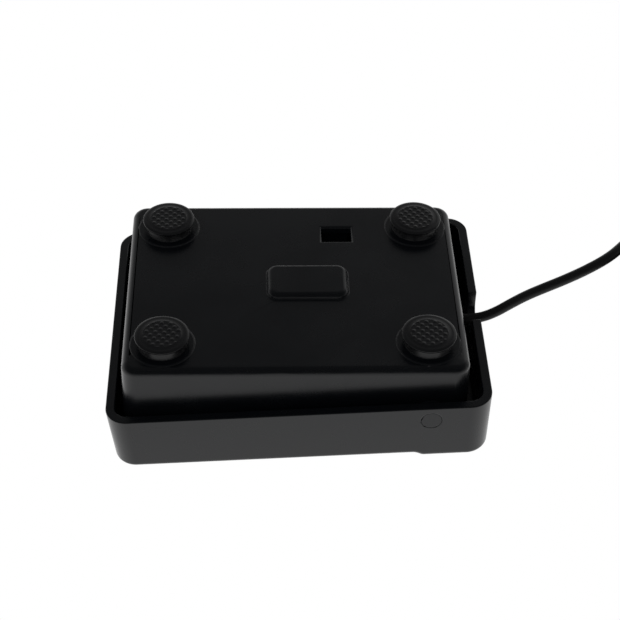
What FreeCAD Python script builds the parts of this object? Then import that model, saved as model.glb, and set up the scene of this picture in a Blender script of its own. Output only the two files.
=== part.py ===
import FreeCAD, Part

import math
import os
import re

import Sketcher

# Foot pedal switch: a hollow tread cover hinged on a low tray with rubber feet, a micro switch on a
# circuit board inside and a data cable that leaves the hinge end.
# Frame, millimetres: +X across, +Y along the length towards the hinge and the cable, +Z up.
# The origin lies on the floor under the middle of the pedal.

SIZES = {
    # tray, inside the cover's rim with a gap all round
    "tray_gap_end": 3.1,
    "tray_gap_side": 2.3,
    "base_height": 19.5,
    "base_wall": 2.0,
    "base_floor": 2.2,
    "base_corner": 4.0,
    "base_edge": 2.0,
    "base_draft": 1.2,
    "base_setback": 0.7,
    # feet
    "foot_height": 3.8,
    "foot_cap": 14.1,
    "foot_waist": 12.8,
    "foot_flare": 0.55,
    "foot_cap_edge": 0.9,
    "foot_chamfer": 0.3,
    "foot_inset_length": 10.26,
    "foot_inset_width": 10.07,
    "foot_ledge": 16.6,
    "foot_ledge_rise": 0.3,
    "foot_stem": 5.6,
    "foot_barb": 7.2,
    "foot_barb_length": 1.6,
    "foot_stem_gap": 0.05,
    # raised pad and window on the underside
    "pad_length": 21.3,
    "pad_width": 12.5,
    "pad_rise": 1.5,
    "pad_corner": 3.0,
    "pad_side_draft": 11.0,
    "pad_edge_share": 1.05,
    "pad_from_middle": 2.95,
    "window_length": 8.0,
    "window_width": 5.85,
    "window_edge": 0.75,
    "window_from_side": 12.9,
    "window_from_end": 32.3,
    # pedal
    "pedal_length": 100.0,
    "pedal_width": 76.0,
    "pedal_height": 17.9,
    "pedal_wall": 2.4,
    "pedal_draft": 2.6,
    "pedal_corner": 5.9,
    "tread_thickness": 2.6,
    "tread_edge": 1.8,
    "tread_raise": 1.1,
    "tread_ramp_from_end": 20.3,
    "tread_ramp_run": 1.9,
    "tread_rib": 1.2,
    "first_rib_from_toe": 18.0,
    "second_rib_from_toe": 40.0,
    "third_rib_from_toe": 51.0,
    "notch_width": 10.8,
    "notch_depth": 6.9,
    "notch_corner": 3.0,
    # hinge
    "hinge_below_top": 5.6,
    "hinge_shift": 0.2,
    "pin_from_end": 16.1,
    "pin_above_rim": 4.5,
    "pin_diameter": 5.4,
    "pin_running_gap": 0.05,
    "pin_fixed_gap": 0.01,
    "pin_reach": 10.7,
    "pin_flush_rise": 1.5,
    "pin_boss_wall": 1.5,
    "pin_boss_reach": 1.0,
    "hinge_boss": 10.0,
    "hinge_web": 3.0,
    "rest_tilt": 3.2,
    "press_angle": 3.4,
    "stop_gap": 0.15,
    "stop_rib": 2.0,
    "stop_rib_past": 0.6,
    # return springs
    "spring_from_side": 13.3,
    "spring_from_end": 23.2,
    "spring_diameter": 8.2,
    "spring_wire": 0.8,
    "spring_turns": 8.0,
    "spring_seat": 2.0,
    "spring_seat_rim": 1.4,
    "spring_seat_gap": 0.02,
    "spring_stub_gap": 0.4,
    "spring_top_gap": 0.3,
    "spring_cup_gap": 0.65,
    "spring_cup_wall": 1.15,
    "spring_cup_depth": 3.0,
    "spring_cup_shift": 0.35,
    # latch that keeps the cover from lifting
    "latch_width": 7.0,
    "latch_thickness": 2.0,
    "latch_overlap": 1.5,
    "latch_height": 11.0,
    "latch_gap": 0.35,
    "latch_from_window": 0.4,
    "latch_run_gap": 1.0,
    "latch_nose": 2.4,
    "hook_width": 6.0,
    "hook_gap": 1.6,
    "hook_height": 2.2,
    "hook_drop": 0.2,
    # circuit board
    "board_width": 30.0,
    "board_length": 30.0,
    "board_thickness": 1.6,
    "board_lift": 2.5,
    "board_across": -1.0,
    "board_from_end": 24.8,
    "board_hole_inset": 3.0,
    "board_post": 5.0,
    "screw_diameter": 2.0,
    "screw_head": 3.8,
    "screw_head_height": 1.4,
    "screw_slot_depth": 0.7,
    "screw_gap": 0.05,
    "screw_pass_gap": 0.2,
    "screw_end_gap": 0.3,
    "post_hole_floor": 0.2,
    # micro switch
    "switch_on_board_across": 6.0,
    "switch_on_board_along": 2.5,
    "switch_length": 12.8,
    "switch_width": 5.8,
    "switch_height": 6.5,
    "plunger_diameter": 2.0,
    "plunger_rise": 0.8,
    "plunger_sunk": 1.4,
    "plunger_bore_depth": 2.4,
    "plunger_bore_gap": 0.05,
    "plunger_gap": 0.1,
    "post_diameter": 4.0,
    "terminal_pitch": 5.1,
    "terminal_diameter": 1.0,
    "terminal_gap": 0.1,
    "terminal_tail": 1.2,
    # board parts
    "chip_size": 7.0,
    "chip_height": 1.2,
    "chip_from_edge": 7.5,
    "crystal_length": 8.5,
    "crystal_width": 3.6,
    "crystal_height": 3.4,
    "crystal_gap": 1.0,
    "capacitor_diameter": 4.0,
    "capacitor_height": 5.0,
    "capacitor_gap": 0.8,
    "capacitor_from_middle": 7.0,
    "capacitor_from_edge": 4.5,
    "socket_on_board_across": -8.5,
    "socket_on_board_along": -4.0,
    "socket_length": 12.4,
    "socket_width": 5.8,
    "socket_height": 5.2,
    "socket_wall": 1.0,
    "wire_plug_height": 3.6,
    "wire_plug_rise": 2.6,
    "wire_plug_stand": 1.0,
    "wire_plug_gap": 0.1,
    "core_diameter": 1.0,
    "core_pitch": 2.5,
    "core_spread": 0.6,
    "core_lead": 3.0,
    "core_lane": 0.7,
    "core_lift": 0.3,
    # cable
    "cable_diameter": 2.8,
    "cable_below_top": 6.1,
    "cable_inner_reach": 9.8,
    "grommet_reach": 1.5,
    "clamp_length": 20.0,
    "clamp_width": 5.0,
    "clamp_thickness": 2.5,
    "clamp_split": 0.3,
    "clamp_from_end": 6.3,
    "clamp_screw_across": 7.5,
    "clamp_screw_reach": 4.0,
    "clamp_hole_spare": 1.1,
    "saddle_width": 4.0,
    "cable_gap": 0.05,
    "grommet_flange": 9.0,
    "grommet_inner_flange": 8.5,
    "grommet_neck": 6.5,
    "grommet_thickness": 1.3,
    "grommet_gap": 0.02,
    # stored length of cable
    "coil_across": 4.0,
    "coil_along": 116.0,
    "coil_radius": 23.3,
    "coil_pitch": 3.25,
    "coil_lift": 1.05,
    "coil_lead": 2.8,
    "tie_width": 5.0,
    "tie_thickness": 0.9,
    "tie_gap": 0.12,
    "tie_end_inset": 0.4,
    "tie_end_from_side": 2.0,
    "tie_end_rise": 0.54,
    # plug
    "plug_body_length": 20.0,
    "plug_body_width": 15.7,
    "plug_body_thickness": 7.6,
    "plug_relief_length": 10.0,
    "plug_relief_diameter": 5.0,
    "plug_shell_length": 12.0,
    "plug_shell_width": 12.0,
    "plug_shell_thickness": 4.5,
    "plug_shell_wall": 0.3,
    "plug_shell_depth": 3.0,
    "plug_shell_gap": 0.02,
    "plug_window_from_tip": 5.0,
    "plug_window_length": 2.5,
    "plug_window_width": 2.0,
    "plug_tongue_thickness": 1.9,
    "plug_tongue_setback": 0.5,
    "plug_contact_width": 1.0,
    "plug_contact_rise": 0.25,
    "plug_contact_setback": 1.0,
    "plug_contact_outer": 3.5,
    "plug_contact_inner": 1.0,
}

# Sizes and places that follow from the ones above. Those of the pin, ribs and tread are in the
# cover's own frame, before it leans on its hinge.
FOLLOWS = {
    "base_length": "pedal_length - 2 * (pedal_wall + tray_gap_end)",
    "base_width": "pedal_width - 2 * (pedal_wall + tray_gap_side)",
    "base_middle": "0 - base_setback",
    "base_end": "base_middle + base_length / 2",
    "base_top": "foot_height + base_height",
    "base_slope": "tan(base_draft * 1deg)",
    "floor_top": "foot_height + base_floor",
    "floor_inside": "floor_top - base_floor / 4",
    "foot_across": "base_width / 2 - foot_inset_width",
    "foot_reach": "base_length / 2 - foot_inset_length",
    "pad_along": "base_middle + base_setback + pad_from_middle",
    "window_across": "base_width / 2 - window_from_side",
    "window_along": "base_end - window_from_end",
    "cover_height": "pedal_height + tread_raise",
    "cover_slope": "tan(pedal_draft * 1deg)",
    "ceiling_height": "pedal_height - tread_thickness",
    "rib_end": "ceiling_height + tread_thickness / 4",
    "tread_ramp_start": "pedal_length / 2 - tread_ramp_from_end",
    "tread_ramp_end": "tread_ramp_start + tread_ramp_run",
    "pin_along": "pedal_length / 2 - pin_from_end",
    "hinge_along": "pin_along + hinge_shift",
    "hinge_height": "base_top - hinge_below_top",
    "wall_at_pin": "base_width / 2 + (hinge_height - foot_height) * base_slope",
    "spring_across": "base_width / 2 - spring_from_side",
    "spring_along": "base_middle - base_length / 2 + spring_from_end",
    "seat_top": "floor_top + spring_seat",
    "cup_height": "hinge_height + (ceiling_height - pin_above_rim) * cos(rest_tilt * 1deg)"
                  " + (hinge_along - spring_along) * sin(rest_tilt * 1deg)",
    "latch_top": "floor_top + latch_height",
    "latch_face": "window_across + window_width / 2 + window_edge + latch_from_window",
    "hook_tip": "latch_face - latch_run_gap",
    "board_along": "base_end - board_from_end",
    "board_bottom": "floor_top + board_lift",
    "board_top": "board_bottom + board_thickness",
    "switch_across": "board_across + switch_on_board_across",
    "switch_along": "board_along + switch_on_board_along",
    "switch_top": "board_top + switch_height",
    "plunger_top": "switch_top + plunger_rise",
    "socket_across": "board_across + socket_on_board_across",
    "socket_along": "board_along + socket_on_board_along",
    "wire_plug_middle": "board_top + wire_plug_rise",
    "cable_height": "base_top - cable_below_top",
    "cable_inner_start": "base_end - cable_inner_reach",
    "cable_exit": "base_end + grommet_reach",
    "clamp_along": "base_end - clamp_from_end",
    "clamp_bottom": "cable_height + clamp_split",
    "wall_at_cable": "base_end + (cable_height - foot_height) * base_slope",
}

doc = FreeCAD.newDocument("foot_pedal_switch")
sheet = doc.addObject("Spreadsheet::Sheet", "Sizes")
for row, (size_name, size_value) in enumerate(SIZES.items(), start=1):
    sheet.set(f"A{row}", size_name)
    sheet.set(f"B{row}", str(size_value))
    sheet.setAlias(f"B{row}", size_name)
doc.recompute()

SUB_PARTS = []
TOUCH = 0.01
Vector = FreeCAD.Vector
AXES = {
    "x": FreeCAD.Rotation(Vector(0, 1, 0), 90),
    "y": FreeCAD.Rotation(Vector(1, 0, 0), -90),
    "z": FreeCAD.Rotation(),
}


def spelled(text):
    """An expression with each derived name written out and each cell's name given its sheet."""
    def write_out(match):
        word = match.group()
        return f"({spelled(FOLLOWS[word])})" if word in FOLLOWS else f"Sizes.{word}"

    return re.sub(r"\b[a-z]+(?:_[a-z]+)+\b", write_out, text)


def bind(item, prop, text):
    item.setExpression(prop, spelled(text))


def number(text):
    """The value of an expression over the sheet."""
    return float(sheet.evalExpression(spelled(text)))


def sub_part(name):
    body = doc.addObject("PartDesign::Body", name)
    body.Label = name
    body.AllowCompound = True
    SUB_PARTS.append(body)
    return body


def plane_of(body, role):
    return next(item for item in body.Origin.OriginFeatures if item.Role == role)


def outline(body, name, plane, points, lift="0"):
    """Closed sketch through points whose coordinates are expressions."""
    sketch = body.newObject("Sketcher::SketchObject", name)
    sketch.AttachmentSupport = [(plane_of(body, plane), "")]
    sketch.MapMode = "FlatFace"
    bind(sketch, "AttachmentOffset.Base.z", lift)
    corners = [Vector(number(across), number(up), 0) for across, up in points]
    count = len(corners)
    for index in range(count):
        sketch.addGeometry(Part.LineSegment(corners[index], corners[(index + 1) % count]), False)
    for index in range(count):
        following = (index + 1) % count
        sketch.addConstraint(Sketcher.Constraint("Coincident", index, 2, following, 1))
    for index, (across, up) in enumerate(points):
        for kind, text in (("DistanceX", across), ("DistanceY", up)):
            place = sketch.addConstraint(Sketcher.Constraint(kind, -1, 1, index, 1, number(text)))
            sketch.renameConstraint(place, f"{kind}{index}")
            bind(sketch, f"Constraints.{kind}{index}", text)
    return sketch


def rectangle(body, name, width, length, along="0", across="0", lift="0"):
    left = f"({across}) - ({width}) / 2"
    right = f"({across}) + ({width}) / 2"
    front = f"({along}) - ({length}) / 2"
    back = f"({along}) + ({length}) / 2"
    corners = [(left, front), (right, front), (right, back), (left, back)]
    return outline(body, name, "XY_Plane", corners, lift)


def pad(body, name, sketch, height, draft="0", down=False):
    feature = body.newObject("PartDesign::Pad", name)
    feature.Profile = sketch
    feature.Reversed = down
    bind(feature, "Length", height)
    bind(feature, "TaperAngle", draft)
    return feature


def pocket(body, name, sketch, depth, draft="0", up=True):
    feature = body.newObject("PartDesign::Pocket", name)
    feature.Profile = sketch
    feature.Reversed = up
    bind(feature, "Length", depth)
    bind(feature, "TaperAngle", draft)
    return feature


def block(body, name, x, y, z, cut=False):
    """Box between two limits on each axis, added to the body or cut from it."""
    kind = "PartDesign::SubtractiveBox" if cut else "PartDesign::AdditiveBox"
    feature = body.newObject(kind, name)
    for prop, axis, (low, high) in (("Length", "x", x), ("Width", "y", y), ("Height", "z", z)):
        bind(feature, prop, f"({high}) - ({low})")
        bind(feature, f"Placement.Base.{axis}", low)
    return feature


def rod(body, name, start, diameter, length, axis="z", cut=False):
    """Cylinder from a start point along an axis, added to the body or cut from it."""
    kind = "PartDesign::SubtractiveCylinder" if cut else "PartDesign::AdditiveCylinder"
    feature = body.newObject(kind, name)
    bind(feature, "Radius", f"({diameter}) / 2")
    bind(feature, "Height", length)
    feature.Placement = FreeCAD.Placement(Vector(), AXES[axis])
    for word, text in zip("xyz", start):
        bind(feature, f"Placement.Base.{word}", text)
    return feature


def turned(body, name, points):
    """Solid of revolution about Z from a closed profile of (radius, height)."""
    profile = outline(body, name + "_profile", "XZ_Plane", points)
    feature = body.newObject("PartDesign::Revolution", name)
    feature.Profile = profile
    feature.ReferenceAxis = (profile, ["V_Axis"])
    feature.Angle = 360
    return feature


def soften(body, name, radius, wanted):
    """Rounds the edges of the body that a test picks."""
    doc.recompute()
    base = body.Tip
    picked = [f"Edge{index}" for index, edge in enumerate(base.Shape.Edges, start=1) if wanted(edge)]
    feature = body.newObject("PartDesign::Fillet", name)
    feature.Base = (base, picked)
    bind(feature, "Radius", radius)
    doc.recompute()
    return feature


def rises(edge, low, high):
    """True for an edge that runs from the low height to the high one."""
    box = edge.BoundBox
    return abs(box.ZMin - low) < TOUCH and abs(box.ZMax - high) < TOUCH and len(edge.Vertexes) == 2


def lies_at(edge, height):
    box = edge.BoundBox
    return abs(box.ZMin - height) < TOUCH and abs(box.ZMax - height) < TOUCH


def corner_places():
    """Centres of the four feet: name, side of the middle and place along the length."""
    toe = "base_middle - foot_reach"
    hinge = "base_middle + foot_reach"
    return [
        ("foot_toe_left", "-1", toe),
        ("foot_toe_right", "1", toe),
        ("foot_hinge_left", "-1", hinge),
        ("foot_hinge_right", "1", hinge),
    ]


def board_holes():
    """Places of the four screws of the circuit board."""
    reach_x = "(board_width / 2 - board_hole_inset)"
    reach_y = "(board_length / 2 - board_hole_inset)"
    return [
        (f"board_across + ({side}) * {reach_x}", f"board_along + ({end}) * {reach_y}")
        for side in (-1, 1)
        for end in (-1, 1)
    ]


def to_cover(along, height):
    """A place in the side view of the object, seen from the tilted cover: length and height."""
    away = f"(({along}) - hinge_along)"
    above = f"(({height}) - hinge_height)"
    lean = "(rest_tilt * 1deg)"
    length = f"(pin_along + {away} * cos({lean}) - {above} * sin({lean}))"
    rise = f"(pin_above_rim + {away} * sin({lean}) + {above} * cos({lean}))"
    return length, rise


def make_base():
    body = sub_part("base_tray")
    sketch = rectangle(body, "base_outline", "base_width", "base_length", "base_middle", lift="foot_height")
    pad(body, "base_block", sketch, "base_height", "base_draft")
    low = number("foot_height")
    high = number("base_top")
    soften(body, "base_corners", "base_corner", lambda edge: rises(edge, low, high))
    soften(body, "base_bottom_edge", "base_edge", lambda edge: lies_at(edge, low))

    widen = "2 * base_floor * base_slope - 2 * base_wall"
    width = f"base_width + {widen}"
    length = f"base_length + {widen}"
    sketch = rectangle(body, "cavity_outline", width, length, "base_middle", lift="floor_top")
    pocket(body, "cavity", sketch, "base_height - base_floor", "base_draft")
    floor = number("floor_top")
    inner = "base_corner - base_wall"
    soften(body, "cavity_corners", inner, lambda edge: rises(edge, floor, high))

    # raised pad on the underside
    spread = "2 * pad_rise * tan(pad_side_draft * 1deg)"
    sketch = rectangle(body, "pad_outline", f"pad_width + {spread}", f"pad_length + {spread}", "pad_along",
                       lift="foot_height")
    pad(body, "raised_pad", sketch, "pad_rise", "0 - pad_side_draft", down=True)
    top = number("foot_height - pad_rise")
    soften(body, "pad_corners", "pad_corner", lambda edge: rises(edge, top, low))
    soften(body, "pad_edge", "pad_edge_share * pad_rise", lambda edge: lies_at(edge, top))

    # window with a rounded edge
    across = ("window_across - window_width / 2", "window_across + window_width / 2")
    along = ("window_along - window_length / 2", "window_along + window_length / 2")
    block(body, "window_hole", across, along, ("foot_height - base_floor", "floor_top + base_floor"), cut=True)
    left, right, toe, hinge = (number(place) for place in across + along)

    def round_window(edge):
        box = edge.BoundBox
        inside = box.XMin > left - TOUCH and box.XMax < right + TOUCH
        return lies_at(edge, low) and inside and box.YMin > toe - TOUCH and box.YMax < hinge + TOUCH

    soften(body, "window_rounding", "window_edge", round_window)

    # feet: a shallow ledge round each, and the hole of its stem
    for name, side, along in corner_places():
        across = f"({side}) * foot_across"
        under = "foot_height - foot_ledge_rise"
        rod(body, name + "_ledge", (across, along, under), "foot_ledge", "foot_ledge_rise + base_floor / 4")
    for name, side, along in corner_places():
        across = f"({side}) * foot_across"
        hole = "foot_stem + 2 * foot_stem_gap"
        start = (across, along, "foot_height - 2 * foot_ledge_rise")
        rod(body, name + "_hole", start, hole, "base_floor + 4 * foot_ledge_rise", cut=True)

    # hinge bosses, each on a web, bored through the wall
    boss_end = "(wall_at_pin - base_wall / 2)"
    boss_start = f"({boss_end} + base_wall / 2 - pin_reach / 2)"
    web = ("hinge_along - hinge_web / 2", "hinge_along + hinge_web / 2")
    web_height = ("floor_inside", "hinge_height - hinge_boss / 4")
    for side, word in ((-1, "left"), (1, "right")):
        across = boss_start if side > 0 else f"0 - {boss_end}"
        start = (across, "hinge_along", "hinge_height")
        rod(body, f"hinge_boss_{word}", start, "hinge_boss", f"{boss_end} - {boss_start}", axis="x")
        block(body, f"hinge_web_{word}", (across, f"{across} + {boss_end} - {boss_start}"), web, web_height)
    for side, word in ((-1, "left"), (1, "right")):
        across = "wall_at_pin - pin_reach" if side > 0 else "0 - wall_at_pin - base_wall"
        start = (across, "hinge_along", "hinge_height")
        rod(body, f"hinge_bore_{word}", start, "pin_diameter + 2 * pin_running_gap", "pin_reach + base_wall",
            axis="x", cut=True)

    # posts of the circuit board
    for index, (across, along) in enumerate(board_holes()):
        start = (across, along, "floor_inside")
        rod(body, f"board_post_{index}", start, "board_post", "board_bottom - floor_inside")
    for index, (across, along) in enumerate(board_holes()):
        hole = "screw_diameter + 2 * screw_gap"
        start = (across, along, "floor_top + post_hole_floor")
        rod(body, f"board_post_hole_{index}", start, hole, "board_lift", cut=True)

    # spring seats: a disc and a stub that the coil sits over
    stub = "spring_diameter - 2 * (spring_wire + spring_stub_gap)"
    for side, word in (("-1", "left"), ("1", "right")):
        start = (f"({side}) * spring_across", "spring_along", "floor_inside")
        seat = "spring_diameter + 2 * spring_seat_rim"
        rod(body, f"spring_seat_{word}", start, seat, "seat_top - floor_inside")
        rod(body, f"spring_stub_{word}", start, stub, "seat_top + spring_seat - floor_inside")

    # latch arm beside the window, with a nose that points to the middle
    y_limits = ("window_along - latch_width / 2", "window_along + latch_width / 2")
    arm = ("latch_face", "latch_face + latch_thickness")
    block(body, "latch_arm", arm, y_limits, ("floor_inside", "latch_top"))
    nose = ("hook_tip - latch_overlap", "latch_face + latch_thickness / 2")
    block(body, "latch_nose", nose, y_limits, ("latch_top - latch_nose", "latch_top"))

    # saddle that carries the cable
    y_limits = ("clamp_along - saddle_width / 2", "clamp_along + saddle_width / 2")
    x_limits = ("0 - clamp_length / 2", "clamp_length / 2")
    block(body, "cable_saddle", x_limits, y_limits, ("floor_inside", "cable_height - clamp_split"))
    start = ("0", "clamp_along - saddle_width", "cable_height")
    groove = "cable_diameter + 2 * cable_gap"
    rod(body, "saddle_groove", start, groove, "2 * saddle_width", axis="y", cut=True)
    depth = "(clamp_screw_reach + clamp_hole_spare)"
    for side, word in (("-1", "left"), ("1", "right")):
        start = (f"({side}) * clamp_screw_across", "clamp_along", f"cable_height - clamp_split - {depth}")
        hole = "screw_diameter + 2 * screw_gap"
        rod(body, f"saddle_hole_{word}", start, hole, f"{depth} + clamp_split", cut=True)

    # hole of the grommet in the hinge-end wall
    start = ("0", "base_end - 2 * base_wall", "cable_height")
    rod(body, "cable_hole", start, "grommet_neck", "4 * base_wall", axis="y", cut=True)


def make_pedal():
    body = sub_part("pedal_shell")
    sketch = rectangle(body, "rim_outline", "pedal_width", "pedal_length")
    pad(body, "cover_block", sketch, "cover_height", "0 - pedal_draft")
    top = number("cover_height")
    soften(body, "cover_corners", "pedal_corner", lambda edge: rises(edge, 0, top))

    # the tread lies lower in front of a short ramp
    above = "cover_height + tread_raise"
    points = [
        ("0 - pedal_length", "pedal_height"),
        ("tread_ramp_start", "pedal_height"),
        ("tread_ramp_end", "cover_height"),
        ("tread_ramp_end", above),
        ("0 - pedal_length", above),
    ]
    sketch = outline(body, "tread_profile", "YZ_Plane", points)
    cut = pocket(body, "tread_front", sketch, "2 * pedal_width", up=False)
    cut.Midplane = True
    ramp = number("tread_ramp_start") - TOUCH, number("tread_ramp_end") + TOUCH
    tread = number("pedal_height") - TOUCH
    half_width = number("pedal_width / 2")

    def over_ramp(edge):
        box = edge.BoundBox
        return box.YLength < TOUCH and ramp[0] < box.YMin < ramp[1] and box.XLength > half_width

    def on_tread_rim(edge):
        box = edge.BoundBox
        between = box.XLength > half_width and -half_width < box.YMin and box.YMax < half_width
        return box.ZMin > tread and not between

    soften(body, "ramp_blend", "1.2 * tread_ramp_run", over_ramp)
    soften(body, "tread_rounding", "tread_edge", on_tread_rim)

    sketch = rectangle(body, "hollow_outline", "pedal_width - 2 * pedal_wall",
                       "pedal_length - 2 * pedal_wall")
    pocket(body, "hollow", sketch, "ceiling_height", "0 - pedal_draft")
    ceiling = number("ceiling_height")
    inner_corner = "pedal_corner - pedal_wall"
    soften(body, "hollow_corners", inner_corner, lambda edge: rises(edge, 0, ceiling))

    # notch that the cable leaves through
    x_limits = ("0 - notch_width / 2", "notch_width / 2")
    inner_face = "pedal_length / 2 - 2 * pedal_wall"
    end_wall = (inner_face, "pedal_length / 2 + pedal_wall")
    block(body, "cable_notch", x_limits, end_wall, ("0 - pedal_wall", "notch_depth"), cut=True)
    notch_top = number("notch_depth")
    notch_start = number(inner_face)

    def notch_corner(edge):
        box = edge.BoundBox
        return lies_at(edge, notch_top) and box.YMin > notch_start and box.XLength < TOUCH

    soften(body, "notch_rounding", "notch_corner", notch_corner)

    # ribs under the tread
    reach = "(pedal_width / 2 - pedal_wall - ceiling_height * cover_slope + pedal_wall / 4)"
    for word in ("first", "second", "third"):
        along = f"{word}_rib_from_toe - pedal_length / 2"
        limits = (f"{along} - tread_rib / 2", f"{along} + tread_rib / 2")
        heights = ("ceiling_height - tread_rib", "rib_end")
        block(body, f"{word}_rib", (f"0 - {reach}", reach), limits, heights)

    # bosses inside the long walls where the pins are held
    face = "(pedal_width / 2 - pedal_wall - pin_above_rim * cover_slope - pin_boss_reach)"
    length = "(pin_boss_reach + pedal_wall / 3)"
    for side, word in ((-1, "left"), (1, "right")):
        start = (face if side > 0 else f"0 - {face} - {length}", "pin_along", "pin_above_rim")
        rod(body, f"pin_boss_{word}", start, "pin_diameter + 2 * pin_boss_wall", length, axis="x")
    start = ("0 - pedal_width", "pin_along", "pin_above_rim")
    rod(body, "pin_holes", start, "pin_diameter + 2 * pin_fixed_gap", "2 * pedal_width", axis="x", cut=True)

    # post over the switch's plunger
    along, rise = to_cover("switch_along", "plunger_top + plunger_gap")
    rod(body, "switch_post", ("switch_across", along, rise), "post_diameter", f"rib_end - {rise}")

    # latch arm that hooks under the tray's nose
    along, rise = to_cover("window_along", "latch_top - latch_nose - latch_gap")
    y_limits = (f"{along} - hook_width / 2", f"{along} + hook_width / 2")
    arm_end = "hook_tip - latch_overlap - hook_gap"
    bottom = f"{rise} - hook_drop - hook_height"
    block(body, "hook_arm", (f"{arm_end} - latch_thickness", arm_end), y_limits, (bottom, "rib_end"))
    barb = (f"{arm_end} - latch_thickness / 2", "hook_tip")
    block(body, "hook_barb", barb, y_limits, (bottom, f"{rise} - hook_drop"))

    # cups that hold the springs
    hole = "spring_diameter + 2 * spring_cup_gap"
    along = to_cover("spring_along + spring_cup_shift", "cup_height")[0]
    for side, word in (("-1", "left"), ("1", "right")):
        start = (f"({side}) * spring_across", along, "ceiling_height - spring_cup_depth")
        height = "rib_end - ceiling_height + spring_cup_depth"
        rod(body, f"spring_cup_{word}", start, f"{hole} + 2 * spring_cup_wall", height)
        rod(body, f"spring_cup_hole_{word}", start, hole, "spring_cup_depth", cut=True)

    # ribs at the toe that meet the tray's rim when the pedal is fully down
    lean = "((press_angle - rest_tilt) * 1deg)"
    wall = "(base_length / 2 + base_setback - base_wall)"
    rise = f"(base_top + stop_gap - hinge_height + pin_above_rim + ({wall} + hinge_along) * sin({lean}))"
    far = "0 - pedal_length / 2 + pedal_wall + ceiling_height * cover_slope - pedal_wall / 4"
    for side, word in (("-1", "left"), ("1", "right")):
        middle = f"({side}) * pedal_width / 4"
        limits = (f"{middle} - stop_rib / 2", f"{middle} + stop_rib / 2")
        block(body, f"stop_rib_{word}", limits, (far, f"stop_rib_past - {wall}"), (rise, "rib_end"))

    lean = FreeCAD.Rotation(Vector(1, 0, 0), -number("rest_tilt"))
    moved = Vector(0, number("hinge_shift"), number("hinge_height - pin_above_rim"))
    pivot = Vector(0, number("pin_along"), number("pin_above_rim"))
    body.Placement = FreeCAD.Placement(moved, lean, pivot)


def make_pins():
    flush = "(pedal_width / 2 - (pin_above_rim + pin_flush_rise) * cover_slope)"
    for side, word in ((-1, "left"), (1, "right")):
        body = sub_part(f"hinge_pin_{word}")
        start = (f"{flush} - pin_reach" if side > 0 else f"0 - {flush}", "hinge_along", "hinge_height")
        rod(body, f"pin_{word}", start, "pin_diameter", "pin_reach", axis="x")


def make_feet():
    """Rubber feet pushed into the tray: a cap, a flared waist, a stem through the floor and a barb."""
    for name, side, along in corner_places():
        body = sub_part(name)
        waist_top = "foot_height - foot_ledge_rise"
        barb_end = "floor_top + foot_barb_length"
        turned(body, name + "_turned", [
            ("0", "0"),
            ("foot_cap / 2 - foot_chamfer", "0"),
            ("foot_cap / 2", "foot_chamfer"),
            ("foot_cap / 2", "foot_cap_edge"),
            ("foot_waist / 2 - foot_flare", "foot_cap_edge + foot_chamfer"),
            ("foot_waist / 2", waist_top),
            ("foot_stem / 2", waist_top),
            ("foot_stem / 2", "floor_top"),
            ("foot_barb / 2", "floor_top"),
            ("foot_stem / 2", barb_end),
            ("0", barb_end),
        ])
        bind(body, "Placement.Base.x", f"({side}) * foot_across")
        bind(body, "Placement.Base.y", along)


def screw(body, name, across, along, seat, reach):
    """Pan-head screw that stands on its seat and reaches down."""
    start = (across, along, f"({seat}) - ({reach})")
    rod(body, name + "_shank", start, "screw_diameter", f"({reach}) + screw_head_height / 2")
    rod(body, name + "_head", (across, along, seat), "screw_head", "screw_head_height")
    start = (across, along, f"({seat}) + screw_head_height - screw_slot_depth")
    rod(body, name + "_recess", start, "screw_head / 2", "screw_head_height", cut=True)


def make_board():
    body = sub_part("circuit_board")
    sketch = rectangle(body, "board_outline", "board_width", "board_length", "board_along", "board_across",
                       "board_bottom")
    pad(body, "board_plate", sketch, "board_thickness")
    low, high = number("board_bottom"), number("board_top")
    soften(body, "board_corners", "board_hole_inset / 2", lambda edge: rises(edge, low, high))
    for index, (across, along) in enumerate(board_holes()):
        start = (across, along, "board_bottom - board_thickness")
        hole = "screw_diameter + 2 * screw_pass_gap"
        rod(body, f"board_hole_{index}", start, hole, "3 * board_thickness", cut=True)
    for index in (-1, 0, 1):
        across = f"switch_across + ({index}) * terminal_pitch"
        start = (across, "switch_along", "board_bottom - board_thickness")
        hole = "terminal_diameter + 2 * terminal_gap"
        rod(body, f"terminal_hole_{index + 1}", start, hole, "3 * board_thickness", cut=True)

    body = sub_part("board_screws")
    for index, (across, along) in enumerate(board_holes()):
        reach = "board_thickness + board_lift - screw_end_gap"
        screw(body, f"board_screw_{index}", across, along, "board_top", reach)

    body = sub_part("controller_chip")
    middle_y = "(board_along - board_length / 2 + chip_from_edge)"
    half = "chip_size / 2"
    x_limits = (f"switch_across - {half}", f"switch_across + {half}")
    y_limits = (f"{middle_y} - {half}", f"{middle_y} + {half}")
    block(body, "chip_case", x_limits, y_limits, ("board_top", "board_top + chip_height"))
    top = number("board_top + chip_height")
    soften(body, "chip_edge", "chip_height / 6", lambda edge: lies_at(edge, top))

    body = sub_part("timing_crystal")
    middle_y = "(switch_along + switch_width / 2 + crystal_gap + crystal_width / 2)"
    x_limits = ("switch_across - crystal_length / 2", "switch_across + crystal_length / 2")
    y_limits = (f"{middle_y} - crystal_width / 2", f"{middle_y} + crystal_width / 2")
    block(body, "crystal_can", x_limits, y_limits, ("board_top", "board_top + crystal_height"))
    low, high = number("board_top"), number("board_top + crystal_height")
    soften(body, "crystal_corners", "4 * crystal_width / 9", lambda edge: rises(edge, low, high))

    body = sub_part("board_capacitors")
    along = "board_along - board_length / 2 + capacitor_from_edge"
    for index in (0, 1):
        across = f"board_across - capacitor_from_middle + {index} * (capacitor_diameter + capacitor_gap)"
        start = (across, along, "board_top")
        rod(body, f"capacitor_{index}", start, "capacitor_diameter", "capacitor_height")


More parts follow.
